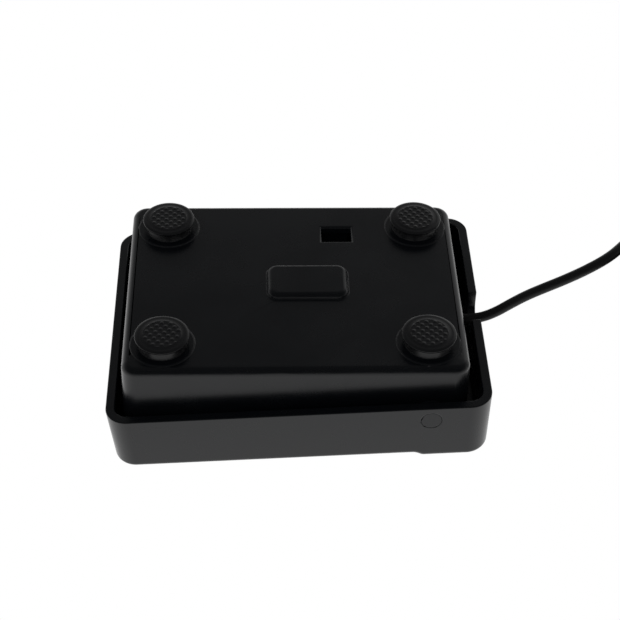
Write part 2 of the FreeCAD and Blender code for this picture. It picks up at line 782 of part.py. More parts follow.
def make_switch():
    body = sub_part("micro_switch_case")
    half_x, half_y = "switch_length / 2", "switch_width / 2"
    x_limits = (f"switch_across - {half_x}", f"switch_across + {half_x}")
    y_limits = (f"switch_along - {half_y}", f"switch_along + {half_y}")
    block(body, "switch_case", x_limits, y_limits, ("board_top", "switch_top"))
    low, high = number("board_top"), number("switch_top")
    soften(body, "case_corners", "switch_width / 10", lambda edge: rises(edge, low, high))
    start = ("switch_across", "switch_along", "switch_top - plunger_bore_depth")
    bore = "plunger_diameter + 2 * plunger_bore_gap"
    rod(body, "plunger_bore", start, bore, "2 * plunger_bore_depth", cut=True)

    body = sub_part("switch_plunger")
    start = ("switch_across", "switch_along", "switch_top - plunger_sunk")
    rod(body, "plunger_rod", start, "plunger_diameter", "plunger_sunk + plunger_rise")
    top = number("plunger_top")
    soften(body, "plunger_round", "plunger_diameter / 5", lambda edge: lies_at(edge, top))

    body = sub_part("switch_terminals")
    for index in (-1, 0, 1):
        across = f"switch_across + ({index}) * terminal_pitch"
        start = (across, "switch_along", "board_bottom - terminal_tail")
        rod(body, f"terminal_{index + 1}", start, "terminal_diameter", "board_thickness + terminal_tail")


def make_wiring():
    """Socket on the board and the plug of the cable's cores in it."""
    x_limits = ("socket_across - socket_length / 2", "socket_across + socket_length / 2")
    y_limits = ("socket_along - socket_width / 2", "socket_along + socket_width / 2")
    plug_x = (f"{x_limits[0]} + socket_wall", f"{x_limits[1]} - socket_wall")
    plug_y = (f"{y_limits[0]} + socket_wall", f"{y_limits[1]} + wire_plug_stand")
    plug_z = ("wire_plug_middle - wire_plug_height / 2", "wire_plug_middle + wire_plug_height / 2")
    body = sub_part("wire_socket")
    block(body, "socket_case", x_limits, y_limits, ("board_top", "board_top + socket_height"))
    block(body, "socket_mouth",
          (f"{plug_x[0]} - wire_plug_gap", f"{plug_x[1]} + wire_plug_gap"), plug_y,
          (f"{plug_z[0]} - wire_plug_gap", f"{plug_z[1]} + wire_plug_gap"), cut=True)

    body = sub_part("wire_plug")
    block(body, "plug_block", plug_x, plug_y, plug_z)


def make_clamp():
    body = sub_part("cable_clamp")
    x_limits = ("0 - clamp_length / 2", "clamp_length / 2")
    y_limits = ("clamp_along - clamp_width / 2", "clamp_along + clamp_width / 2")
    block(body, "clamp_bar", x_limits, y_limits, ("clamp_bottom", "clamp_bottom + clamp_thickness"))
    low, high = number("clamp_bottom"), number("clamp_bottom + clamp_thickness")
    soften(body, "clamp_corners", "clamp_width / 4", lambda edge: rises(edge, low, high))
    start = ("0", "clamp_along - clamp_width", "cable_height")
    groove = "cable_diameter + 2 * cable_gap"
    rod(body, "clamp_groove", start, groove, "2 * clamp_width", axis="y", cut=True)
    for side, word in (("-1", "left"), ("1", "right")):
        start = (f"({side}) * clamp_screw_across", "clamp_along", "cable_height")
        hole = "screw_diameter + 2 * screw_pass_gap"
        rod(body, f"clamp_hole_{word}", start, hole, "2 * clamp_thickness", cut=True)

    body = sub_part("clamp_screws")
    for side, word in (("-1", "left"), ("1", "right")):
        screw(body, f"clamp_screw_{word}", f"({side}) * clamp_screw_across", "clamp_along",
              "clamp_bottom + clamp_thickness", "clamp_thickness + 2 * clamp_split + clamp_screw_reach")


def make_grommet():
    """Rubber grommet in the wall: outer flange, neck and inner flange round the cable."""
    body = sub_part("cable_grommet")
    slack = "(grommet_flange / 2 * base_slope + grommet_gap)"
    outer = f"(wall_at_cable + {slack})"
    inner = f"(wall_at_cable - base_wall - {slack})"
    low = f"({inner} - grommet_thickness)"
    start = ("0", outer, "cable_height")
    rod(body, "outer_flange", start, "grommet_flange", f"cable_exit - {outer}", axis="y")
    start = ("0", low, "cable_height")
    rod(body, "inner_flange", start, "grommet_inner_flange", "grommet_thickness", axis="y")
    start = ("0", f"{inner} - grommet_thickness / 4", "cable_height")
    neck = "grommet_neck - 2 * grommet_gap"
    rod(body, "neck", start, neck, f"{outer} - {inner} + grommet_thickness / 2", axis="y")
    start = ("0", f"{low} - grommet_thickness", "cable_height")
    length = f"cable_exit - {low} + 2 * grommet_thickness"
    rod(body, "bore", start, "cable_diameter", length, axis="y", cut=True)


def arc_between(start, corner, end):
    """Arc tangent to start-corner and corner-end, both legs of equal length."""
    middle = (start + end) * 0.5
    leg = (corner - start).Length
    half = (end - start).Length / 2
    if (corner - middle).Length < 1e-6:
        return Part.LineSegment(start, end).toShape()
    base_angle = math.acos(min(1.0, half / leg))
    crown = middle + (corner - middle).normalize() * (half * math.tan(base_angle / 2))
    return Part.Arc(start, crown, end).toShape()


def cord_path(points):
    """Straight runs through the points, with a tangent arc at each bend. Returns edges and radii."""
    points = [Vector(*point) for point in points]
    edges, radii = [], []
    last = points[0]
    for before, here, after in zip(points, points[1:], points[2:]):
        come = here - before
        leave = after - here
        leg = 0.45 * min(come.Length, leave.Length)
        turn = come.getAngle(leave)
        start = here - come.normalize() * leg
        end = here + leave.normalize() * leg
        edges.append(Part.LineSegment(last, start).toShape())
        edges.append(arc_between(start, here, end))
        radii.append(leg / math.tan(turn / 2))
        last = end
    edges.append(Part.LineSegment(last, points[-1]).toShape())
    return edges, radii


def curve_path(places, headings):
    """Two tangent arcs between each pair of neighbouring places, from the headings there."""
    edges = []
    for start, end, go, arrive in zip(places, places[1:], headings, headings[1:]):
        chord = end - start
        both = go + arrive
        bend = 2 * (1 - go.dot(arrive))
        along = chord.dot(both)
        if bend < 1e-9:
            reach = chord.dot(chord) / (2 * along)
        else:
            reach = (math.sqrt(along * along + bend * chord.dot(chord)) - along) / bend
        first = start + go * reach
        second = end - arrive * reach
        middle = (first + second) * 0.5
        edges.append(arc_between(start, first, middle))
        edges.append(arc_between(middle, second, end))
    return edges


def tube(edges, diameter):
    """Round tube along the edges."""
    wire = Part.Wire(edges)
    start = edges[0].valueAt(edges[0].FirstParameter)
    heading = edges[0].tangentAt(edges[0].FirstParameter)
    ring = Part.Wire([Part.Circle(start, heading, diameter / 2).toShape()])
    shell = Part.BRepOffsetAPI.MakePipeShell(wire)
    shell.add(ring)
    shell.build()
    shell.makeSolid()
    return shell.shape()


def coded_part(name, shape):
    item = doc.addObject("Part::Feature", name)
    item.Label = name
    item.Shape = shape
    item.Placement = FreeCAD.Placement()
    SUB_PARTS.append(item)
    return item


def report_tube(name, shape, edges, diameter):
    length = sum(edge.Length for edge in edges)
    ratio = shape.Volume / (length * math.pi * diameter * diameter / 4)
    print(f"{name}: length {length:.1f}, volume over section times length {ratio:.4f}")
    return length


def make_springs():
    """Two compression springs between the tray and the cover, as quarter-turn arcs."""
    wire = number("spring_wire")
    radius = (number("spring_diameter") - wire) / 2
    low = number("seat_top + spring_seat_gap") + wire / 2
    lean = math.radians(number("rest_tilt"))
    near_side = number("hinge_along - spring_along") - radius - wire
    ceiling = number("hinge_height") + number("ceiling_height - pin_above_rim") * math.cos(lean)
    high = ceiling + near_side * math.sin(lean) - number("spring_top_gap") - wire / 2
    steps = round(number("spring_turns") * 4)
    climb = (high - low) / steps
    slope = climb / (math.pi / 2 * radius)
    for side, name in ((-1, "return_spring_left"), (1, "return_spring_right")):
        places, headings = [], []
        for step in range(steps + 1):
            angle = step * math.pi / 2
            out = Vector(math.cos(angle), math.sin(angle), 0)
            middle = Vector(side * number("spring_across"), number("spring_along"), low + climb * step)
            places.append(middle + out * radius)
            headings.append(Vector(-math.sin(angle), math.cos(angle), slope).normalize())
        edges = curve_path(places, headings)
        shape = tube(edges, wire)
        report_tube(name, shape, edges, wire)
        print(f"  gap between turns {4 * climb - wire:.2f}")
        coded_part(name, shape)


def make_cores():
    """Four insulated cores from the plug on the board to the end of the cable's jacket."""
    diameter = number("core_diameter")
    spread = number("core_spread")
    lift = number("core_lift")
    lead = Vector(0, number("core_lead"), 0)
    first = Vector(number("socket_across"), number("socket_along + socket_width / 2 + wire_plug_stand"),
                   number("wire_plug_middle"))
    bundle = Vector(0, number("cable_inner_start"), number("cable_height"))
    for index, word in enumerate(("power", "data_minus", "data_plus", "ground")):
        place = index - 1.5
        above = 1 if index in (1, 2) else -1
        start = first + Vector(place * number("core_pitch"), 0, 0)
        end = bundle + Vector(math.copysign(spread, place), 0, above * spread)
        leave, goal = start + lead, end - lead
        span = goal - leave
        lane = -place * number("core_lane")
        points = [
            start,
            leave,
            leave + Vector(0.16 * span.x, 0.4 * span.y + lane, 0.5 * span.z + above * lift / 2),
            leave + Vector(0.84 * span.x, 0.6 * span.y + lane, 0.75 * span.z + above * lift),
            goal,
            end,
        ]
        edges, radii = cord_path(points)
        shape = tube(edges, diameter)
        report_tube("core " + word, shape, edges, diameter)
        print("  radii", [round(value, 1) for value in radii])
        coded_part(f"wire_core_{word}", shape)


# Route of the free stretch of cable, from the grommet down to the floor and on to the coil.
CABLE_ROUTE = [
    (0.0, 45.3, 17.2),
    (0.0, 48.6, 17.2),
    (0.0, 51.9, 16.4),
    (0.1, 55.2, 14.6),
    (0.3, 58.6, 12.0),
    (0.7, 62.6, 9.4),
    (1.3, 67.2, 7.3),
    (2.4, 72.8, 5.3),
    (4.4, 79.2, 3.3),
    (7.8, 85.6, 1.9),
    (12.5, 90.4, 1.4),
    (17.8, 94.8, 1.4),
    (22.4, 99.2, 1.5),
    (25.6, 103.9, 1.9),
    (27.3, 109.0, 2.45),
    (27.3, 113.2, 2.45),
]

# Route from the coil's last turn down to the plug, which lies on the floor beside the coil.
TAIL_ROUTE = [
    (1.2, 140.11, 12.2),
    (-3.6, 140.11, 12.2),
    (-9.6, 140.5, 10.6),
    (-16.0, 140.9, 7.6),
    (-22.4, 140.7, 5.0),
    (-28.2, 140.0, 3.8),
    (-33.0, 140.0, 3.8),
]

COIL_TURNS = 16.25
TURNS_PER_LAYER = 4
LAYER_CHANGES = (1, 2, 3)


def coil_point(turns):
    """Centre of the wound cable after so many turns, in layers that run inwards and outwards in turn."""
    pitch = number("coil_pitch")
    layer = min(len(LAYER_CHANGES), int(turns // TURNS_PER_LAYER))
    within = turns - TURNS_PER_LAYER * layer
    inward = layer % 2 == 0
    radius = number("coil_radius") - pitch * (within if inward else TURNS_PER_LAYER - within)
    level = number("cable_diameter / 2 + coil_lift")
    for change in LAYER_CHANGES:
        share = min(1.0, max(0.0, 2 * (turns - TURNS_PER_LAYER * change) + 0.5))
        level += pitch * share * share * (3 - 2 * share)
    angle = 2 * math.pi * turns
    return Vector(number("coil_across") + radius * math.cos(angle),
                  number("coil_along") + radius * math.sin(angle), level)


def make_cable():
    diameter = number("cable_diameter")
    height = number("cable_height")
    inner = [Part.LineSegment(Vector(0, number("cable_inner_start"), height),
                              Vector(0, number("cable_exit"), height)).toShape()]
    shape = tube(inner, diameter)
    total = report_tube("cable inner run", shape, inner, diameter)
    coded_part("cable_inner_run", shape)

    for name, route in (("cable_run", CABLE_ROUTE), ("cable_tail", TAIL_ROUTE)):
        edges, radii = cord_path(route)
        shape = tube(edges, diameter)
        total += report_tube(name, shape, edges, diameter)
        print("  radii", [round(value, 1) for value in radii])
        coded_part(name, shape)

    steps = int(COIL_TURNS * 4)
    places = [coil_point(step / 4) for step in range(steps + 1)]
    headings = [(coil_point(step / 4 + 0.002) - coil_point(step / 4 - 0.002)).normalize()
                for step in range(1, steps)]
    headings = [Vector(0, 1, 0)] + headings + [Vector(-1, 0, 0)]
    lead = number("coil_lead")
    edges = [Part.LineSegment(places[0] - headings[0] * lead, places[0]).toShape()]
    edges += curve_path(places, headings)
    edges.append(Part.LineSegment(places[-1], places[-1] + headings[-1] * lead).toShape())
    shape = tube(edges, diameter)
    total += report_tube("cable_coil", shape, edges, diameter)
    coded_part("cable_coil", shape)
    print(f"whole cable {total:.0f}")


def make_tie():
    """Strap round the wound cable, with the overlapped end on top."""
    body = sub_part("cable_tie")
    inner_turn = "(coil_radius - 3.5 * coil_pitch - cable_diameter / 2)"
    outer_turn = "(coil_radius - coil_pitch / 2 + cable_diameter / 2)"
    left = f"(coil_across - {outer_turn} - 2 * tie_gap)"
    right = f"(coil_across - {inner_turn} + 4 * tie_gap)"
    low = "(coil_lift - tie_gap)"
    high = "(coil_lift + cable_diameter + 3 * coil_pitch + tie_gap)"
    y_limits = ("coil_along - tie_width / 2", "coil_along + tie_width / 2")
    block(body, "strap", (f"{left} - tie_thickness", f"{right} + tie_thickness"), y_limits,
          (f"{low} - tie_thickness", f"{high} + tie_thickness"))
    start, end = number(y_limits[0]), number(y_limits[1])

    def long_corner(edge):
        box = edge.BoundBox
        return abs(box.YMin - start) < TOUCH and abs(box.YMax - end) < TOUCH

    soften(body, "strap_corners", "tie_thickness", long_corner)
    through = ("coil_along - tie_width", "coil_along + tie_width")
    block(body, "strap_inside", (left, right), through, (low, high), cut=True)
    block(body, "strap_end",
          (f"{left} + tie_end_from_side", f"{right} - tie_end_from_side"),
          (f"{y_limits[0]} + tie_end_inset", f"{y_limits[1]} - tie_end_inset"),
          (f"{high} + tie_thickness / 2", f"{high} + tie_thickness + tie_end_rise"))


def make_plug():
    end_x, end_y, end_z = TAIL_ROUTE[-1]
    back = f"({end_x} - plug_relief_length)"
    front = f"({back} - plug_body_length)"
    half_y, half_z = "plug_body_width / 2", "plug_body_thickness / 2"
    body = sub_part("usb_plug_body")
    block(body, "overmould", (front, back), (f"{end_y} - {half_y}", f"{end_y} + {half_y}"),
          (f"{end_z} - {half_z}", f"{end_z} + {half_z}"))
    low_x, high_x = number(front), number(back)

    def along_body(edge):
        box = edge.BoundBox
        return abs(box.XMin - low_x) < TOUCH and abs(box.XMax - high_x) < TOUCH

    soften(body, "overmould_edges", "plug_body_thickness / 4", along_body)
    at_back = high_x - TOUCH
    soften(body, "overmould_back", "plug_body_thickness / 6", lambda edge: edge.BoundBox.XMin > at_back)
    start = (f"{back} - plug_relief_length / 4", str(end_y), str(end_z))
    rod(body, "relief", start, "plug_relief_diameter", "1.25 * plug_relief_length", axis="x")
    half_y, half_z = "plug_shell_width / 2", "plug_shell_thickness / 2"
    pocket_end = f"({front} + plug_shell_depth)"
    y_limits = (f"{end_y} - {half_y}", f"{end_y} + {half_y}")
    z_limits = (f"{end_z} - {half_z}", f"{end_z} + {half_z}")
    block(body, "shell_pocket", (f"{front} - plug_shell_depth", pocket_end),
          (f"{y_limits[0]} - plug_shell_gap", f"{y_limits[1]} + plug_shell_gap"),
          (f"{z_limits[0]} - plug_shell_gap", f"{z_limits[1]} + plug_shell_gap"), cut=True)

    tip = f"({front} - plug_shell_length)"
    body = sub_part("usb_plug_shell")
    block(body, "shell_outside", (tip, pocket_end), y_limits, z_limits)
    block(body, "shell_inside", (f"{tip} - plug_shell_depth", f"{pocket_end} + plug_shell_depth"),
          (f"{y_limits[0]} + plug_shell_wall", f"{y_limits[1]} - plug_shell_wall"),
          (f"{z_limits[0]} + plug_shell_wall", f"{z_limits[1]} - plug_shell_wall"), cut=True)
    window_start = f"{tip} + plug_window_from_tip"
    for side, word in (("-1", "low"), ("1", "high")):
        middle = f"{end_y} + ({side}) * plug_shell_width / 4"
        block(body, f"window_{word}", (window_start, f"{window_start} + plug_window_length"),
              (f"{middle} - plug_window_width / 2", f"{middle} + plug_window_width / 2"),
              (f"{end_z} - plug_shell_thickness", f"{end_z} + plug_shell_thickness"), cut=True)

    body = sub_part("usb_plug_tongue")
    inset = "plug_shell_wall + plug_shell_gap"
    tongue_low = f"({z_limits[0]} + {inset})"
    tongue_top = f"({tongue_low} + plug_tongue_thickness)"
    block(body, "tongue", (f"{tip} + plug_tongue_setback", pocket_end),
          (f"{y_limits[0]} + {inset}", f"{y_limits[1]} - ({inset})"), (tongue_low, tongue_top))

    body = sub_part("usb_plug_contacts")
    x_limits = (f"{tip} + plug_contact_setback", f"{front} - plug_contact_setback")
    heights = (tongue_top, f"{tongue_top} + plug_contact_rise")
    for side, word in (("-1", "low"), ("1", "high")):
        for place in ("outer", "inner"):
            middle = f"{end_y} + ({side}) * plug_contact_{place}"
            limits = (f"{middle} - plug_contact_width / 2", f"{middle} + plug_contact_width / 2")
            block(body, f"contact_{place}_{word}", x_limits, limits, heights)


make_base()
make_pedal()
make_pins()
make_feet()
make_board()
make_switch()
make_wiring()
make_clamp()
make_grommet()
make_springs()
make_cores()
make_cable()
make_tie()
make_plug()
doc.recompute()

for item in doc.Objects:
    if "Invalid" in item.State or "Error" in item.State:
        raise RuntimeError(f"{item.Name} did not build: {item.State}")
for item in SUB_PARTS:
    if item.Shape.isNull() or not item.Shape.isValid():
        raise RuntimeError(f"{item.Label} has no valid shape")

os.makedirs("parts", exist_ok=True)
for item in SUB_PARTS:
    item.Shape.exportStep(f"parts/{item.Label}.step")
print(f"{len(SUB_PARTS)} sub-parts written")
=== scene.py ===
import math

import bmesh
import bpy
import numpy as np
from bpy.props import FloatProperty, FloatVectorProperty, IntProperty, PointerProperty
from mathutils import Matrix, Vector


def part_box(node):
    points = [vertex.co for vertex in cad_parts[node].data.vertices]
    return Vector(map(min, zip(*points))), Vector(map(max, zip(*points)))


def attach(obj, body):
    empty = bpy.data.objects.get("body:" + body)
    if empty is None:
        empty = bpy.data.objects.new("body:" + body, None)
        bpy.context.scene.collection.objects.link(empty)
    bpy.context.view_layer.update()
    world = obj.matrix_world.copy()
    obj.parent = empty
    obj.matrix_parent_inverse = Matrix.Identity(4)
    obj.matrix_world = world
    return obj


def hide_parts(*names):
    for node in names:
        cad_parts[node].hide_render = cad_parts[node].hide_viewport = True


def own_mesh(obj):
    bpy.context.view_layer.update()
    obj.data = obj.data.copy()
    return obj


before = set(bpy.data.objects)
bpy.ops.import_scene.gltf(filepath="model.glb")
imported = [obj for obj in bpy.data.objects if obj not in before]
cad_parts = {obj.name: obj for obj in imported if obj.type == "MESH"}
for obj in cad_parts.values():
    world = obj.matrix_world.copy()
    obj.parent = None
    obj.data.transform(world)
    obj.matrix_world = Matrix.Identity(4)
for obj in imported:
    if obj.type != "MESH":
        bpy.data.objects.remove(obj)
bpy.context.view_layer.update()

bl_info = {
    "name": "Foot Pedal Switch",
    "version": (1, 0, 0),
    "blender": (4, 5, 0),
    "location": "View3D > Sidebar > Foot Pedal",
    "description": "Finishes, feet, springs, cable and studio for a foot pedal switch",
    "category": "Object",
}

# Metres, in the part's frame: X across, Y along the length towards the cable, Z up.
MM = 0.001


class PedalSizes(bpy.types.PropertyGroup):
    """Sizes of the pieces that are wound, turned or rounded here."""
    moulding_edge: FloatProperty(
        name="Moulding edge", description="Rounding of the mouldings' crisp edges",
        default=0.25 * MM, unit="LENGTH")
    chequer_side: FloatProperty(
        name="Chequer side", description="Side of one raised square on a foot",
        default=1.15 * MM, unit="LENGTH")
    chequer_depth: FloatProperty(
        name="Chequer depth", description="Depth of the squares on a foot",
        default=0.11 * MM, unit="LENGTH")
    tread_share: FloatProperty(
        name="Chequered share", description="Chequered disc over the cap's diameter",
        default=0.7, subtype="FACTOR", min=0.1, max=0.85)
    spring_wire: FloatProperty(
        name="Spring wire", description="Wire diameter of the return springs",
        default=0.8 * MM, unit="LENGTH")
    spring_turns: IntProperty(
        name="Spring turns", description="Turns of a return spring", default=8, min=3)
    spring_shut: FloatProperty(
        name="Spring when pressed", description="Length of a pressed spring over its length at rest",
        default=0.855, subtype="FACTOR", min=0.3, max=1.0)
    cable_diameter: FloatProperty(
        name="Cable diameter", description="Diameter of the cable's jacket",
        default=2.8 * MM, unit="LENGTH")
    cable_length: FloatProperty(
        name="Cable length", description="Length from the grommet to the plug",
        default=1.85, unit="LENGTH")
    coil_radius: FloatProperty(
        name="Coil radius", description="Radius of the outermost turn",
        default=23.3 * MM, unit="LENGTH")
    coil_pitch: FloatProperty(
        name="Coil pitch", description="Spacing of the coil's turns and layers",
        default=3.25 * MM, unit="LENGTH")
    strap_thickness: FloatProperty(
        name="Strap thickness", description="Thickness of the strap round the coil",
        default=0.8 * MM, unit="LENGTH")


class PedalColours(bpy.types.PropertyGroup):
    """Colours of the mouldings, the rubber, the cable, the board and the floor."""
    plastic: FloatVectorProperty(
        name="Plastic", description="Colour of the cover and the tray",
        default=(0.0020, 0.0025, 0.0034), subtype="COLOR", min=0, max=1)
    rubber: FloatVectorProperty(
        name="Rubber", description="Colour of the feet",
        default=(0.0040, 0.0042, 0.0048), subtype="COLOR", min=0, max=1)
    jacket: FloatVectorProperty(
        name="Jacket", description="Colour of the cable",
        default=(0.0046, 0.0046, 0.0048), subtype="COLOR", min=0, max=1)
    laminate: FloatVectorProperty(
        name="Board", description="Colour of the circuit board",
        default=(0.01, 0.12, 0.045), subtype="COLOR", min=0, max=1)
    floor: FloatVectorProperty(
        name="Floor", description="Colour of the studio floor",
        default=(0.86, 0.86, 0.86), subtype="COLOR", min=0, max=1)


class PedalStudio(bpy.types.PropertyGroup):
    """Lamps, and the surroundings that glossy surfaces mirror."""
    key_power: FloatProperty(
        name="Key lamp", description="Power of the lamp above", default=6.0, unit="POWER")
    fill_power: FloatProperty(
        name="Fill lamp", description="Power of the lamp beside", default=3.0, unit="POWER")
    under_power: FloatProperty(
        name="Under lamp", description="Power of the lamp below", default=3.0, unit="POWER")
    room_light: FloatProperty(
        name="Room light", description="Even light from all sides", default=0.45, min=0)
    sheen_above: FloatProperty(
        name="Sheen above", description="What gloss sees above the floor", default=1.0, min=0)
    sheen_far: FloatProperty(
        name="Sheen far", description="What gloss sees low on the far side", default=0.095, min=0)
    sheen_near: FloatProperty(
        name="Sheen near", description="What gloss sees low on the near side", default=0.05, min=0)
    window: FloatProperty(
        name="Window", description="Brightness of the window to the right", default=0.3, min=0)


# Camera worked out from the feet, the rims and the cable in the picture. The picture's own axes are
# right, away and up, from the middle of the tray's bottom. The pedal lies on its tread there, so up
# in the picture is down in the part.
PICTURE_SIDE = 620
FOCAL_PIXELS = 1545.0
SENSOR = 36.0
CAMERA_RIGHT, CAMERA_AWAY, CAMERA_UP = -10.007 * MM, -308.811 * MM, 276.440 * MM
CAMERA_YAW, CAMERA_PITCH, CAMERA_ROLL = 0.047, 0.747, -0.0265
TRAY_SETBACK = 0.7 * MM
TRAY_BOTTOM = 3.8 * MM

# Route of the cable's free stretch and of its tail, points set in millimetres.
CABLE_ROUTE = np.array([
    (0.0, 45.3, 17.2),
    (0.0, 48.6, 17.2),
    (0.0, 51.9, 16.4),
    (0.1, 55.2, 14.6),
    (0.3, 58.6, 12.0),
    (0.7, 62.6, 9.4),
    (1.3, 67.2, 7.3),
    (2.4, 72.8, 5.3),
    (4.4, 79.2, 3.3),
    (7.8, 85.6, 1.9),
    (12.5, 90.4, 1.4),
    (17.8, 94.8, 1.4),
    (22.4, 99.2, 1.5),
    (25.6, 103.9, 1.9),
    (27.3, 109.0, 2.45),
    (27.3, 113.2, 2.45),
]) * MM
TAIL_ROUTE = np.array([
    (1.2, 140.11, 12.2),
    (-3.6, 140.11, 12.2),
    (-9.6, 140.5, 10.6),
    (-16.0, 140.9, 7.6),
    (-22.4, 140.7, 5.0),
    (-28.2, 140.0, 3.8),
    (-33.0, 140.0, 3.8),
]) * MM

# The coil: its middle across and along, the height of its lowest layer, and how it is wound.
COIL_MIDDLE = np.array([4.0, 116.0]) * MM
COIL_LIFT = 2.45 * MM
COIL_TURNS = 16.25
COIL_LAYERS = 4
TURNS_PER_LAYER = 4
CLIMB_TURNS = 0.5
POINTS_PER_TURN = 16

# Profile of a foot, from the disc on its cap over the cap's ring and edge to the waist and the stem.
# Depths are measured from the cap's face, the ring and the cap's back inwards from its widest radius.
DISC_RINGS = 70
DISC_FADE = 0.15 * MM
DISC_GAP = 0.1 * MM
RING_DEPTH = 0.16 * MM
RING_WIDTH = 0.95 * MM
CAP_EDGE = 0.2 * MM
SHOULDER_TILT = math.radians(26)
SIDE_TILT = math.radians(98)
CAP_BACK = ((0.06 * MM, 0.88 * MM), (0.12 * MM, 0.95 * MM))
WAIST_CORNER = (6.0 * MM, 1.12 * MM)
WAIST_RADIUS, WAIST_SPLAY, WAIST_CURL = 5.8 * MM, 0.46 * MM, 0.16 * MM
WAIST_START, WAIST_LENGTH = 1.2 * MM, 2.3 * MM
STEM_RADIUS, BARB_RADIUS = 2.8 * MM, 3.6 * MM
STEM_START, BARB_START, STEM_END = 3.5 * MM, 6.0 * MM, 7.6 * MM
FOOT_COLUMNS = 288
FOOT_TWISTS = {
    "foot_toe_left": 0.1,
    "foot_toe_right": -0.06,
    "foot_hinge_left": 0.02,
    "foot_hinge_right": 0.2,
}

# Springs and strap: steps of their grids, and shares of the wire and of the strap's thickness.
WIRE_COLUMNS = 16
STEPS_PER_TURN = 48
SHUT_PITCH = 1.04
STRAP_CORNER = 1.4 * MM
BEND_POINTS = 8
STRAP_STEPS = 260
STRAP_COLUMNS = 9
OVERLAP_LIFT = 1.02
WEBBING_SHARE = 0.9

# Merging and shading of the mouldings, and shading of the turned and wound pieces.
MERGE_DISTANCE = 1e-6
FLAT_ANGLE = math.radians(0.02)
SMOOTH_ANGLE = math.radians(32)
CRISP_ANGLE = math.radians(40)
FLAT_FACE_WEIGHT = 50
TURNED_ANGLE = math.radians(50)

# Lamps: name, place in metres, side, and the setting that holds the power.
LAMPS = (
    ("Key lamp", (-0.45, -0.55, 0.95), 0.9, "key_power"),
    ("Fill lamp", (0.8, 0.5, 0.55), 0.7, "fill_power"),
    ("Under lamp", (-0.55, -0.25, -0.75), 0.8, "under_power"),
)

# Directions between which the gloss pales, as heights, sideways shares and nearness to the window.
FAR_LIMITS = (-0.82, 0.35)
NEAR_LIMITS = (-0.4, 0.3)
SIDE_LIMITS = (-0.6, 0.6)
WINDOW_LIMITS = (0.93, 0.985)
WINDOW_AIM = Vector((0.73, 0.46, -0.5)).normalized()
FLOOR_REACH = 4.0
FLOOR_FADE = (0.25, 1.1)


def settings():
    return bpy.context.scene.pedal_sizes


def colours():
    return bpy.context.scene.pedal_colours


def add_object(name, data, body="tray"):
    """Puts a new piece in the scene, to move with its body."""
    piece = bpy.data.objects.new(name, data)
    bpy.context.scene.collection.objects.link(piece)
    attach(piece, body)
    return piece


def eased(share):
    """Smooth step from 0 to 1, level at both ends: three squares less two cubes of the share."""
    return share * share * (3 - 2 * share)


# Shader helpers

def place_node(tree, kind, x, y, **values):
    """Adds a node. Each value goes to the socket of that name, or else to the node's own setting."""
    node = tree.nodes.new(kind)
    node.location = (x, y)
    for name, value in values.items():
        key = name.replace("_", " ")
        if key in node.inputs:
            node.inputs[key].default_value = value
        else:
            setattr(node, name, value)
    return node


def new_group(name, inputs, outputs):
    """Empty shader group with named number inputs, named outputs, and both end nodes."""
    tree = bpy.data.node_groups.new(name, "ShaderNodeTree")
    for word, value in inputs:
        socket = tree.interface.new_socket(name=word, in_out="INPUT", socket_type="NodeSocketFloat")
        socket.default_value = value
    for word, kind in outputs:
        tree.interface.new_socket(name=word, in_out="OUTPUT", socket_type=kind)
    source = place_node(tree, "NodeGroupInput", -900, 0)
    target = place_node(tree, "NodeGroupOutput", 700, 0)
    return tree, source, target


def mould_grain_group():
    """Height of a spark-eroded mould: fine noise plus broad patches at a lesser weight."""
    tree, source, target = new_group(
        "Mould grain", [("Scale", 900.0), ("Unevenness", 0.3)],
        [("Height", "NodeSocketFloat"), ("Patches", "NodeSocketFloat")])
    place = place_node(tree, "ShaderNodeTexCoord", -900, 300)
    fine = place_node(tree, "ShaderNodeTexNoise", -600, 200, Detail=3.0, Roughness=0.6)
    broad = place_node(tree, "ShaderNodeTexNoise", -600, -100, Scale=55.0, Detail=4.0, Roughness=0.55)
    spread = place_node(tree, "ShaderNodeMapRange", -350, -100, From_Min=0.35, From_Max=0.65)
    weigh = place_node(tree, "ShaderNodeMath", -100, -100, operation="MULTIPLY")
    total = place_node(tree, "ShaderNodeMath", 150, 100, operation="ADD")
    tree.links.new(place.outputs["Object"], fine.inputs["Vector"])
    tree.links.new(place.outputs["Object"], broad.inputs["Vector"])
    tree.links.new(source.outputs["Scale"], fine.inputs["Scale"])
    tree.links.new(broad.outputs["Fac"], spread.inputs["Value"])
    tree.links.new(spread.outputs["Result"], weigh.inputs[0])
    tree.links.new(source.outputs["Unevenness"], weigh.inputs[1])
    tree.links.new(fine.outputs["Fac"], total.inputs[0])
    tree.links.new(weigh.outputs[0], total.inputs[1])
    tree.links.new(total.outputs[0], target.inputs["Height"])
    tree.links.new(spread.outputs["Result"], target.inputs["Patches"])
    return tree


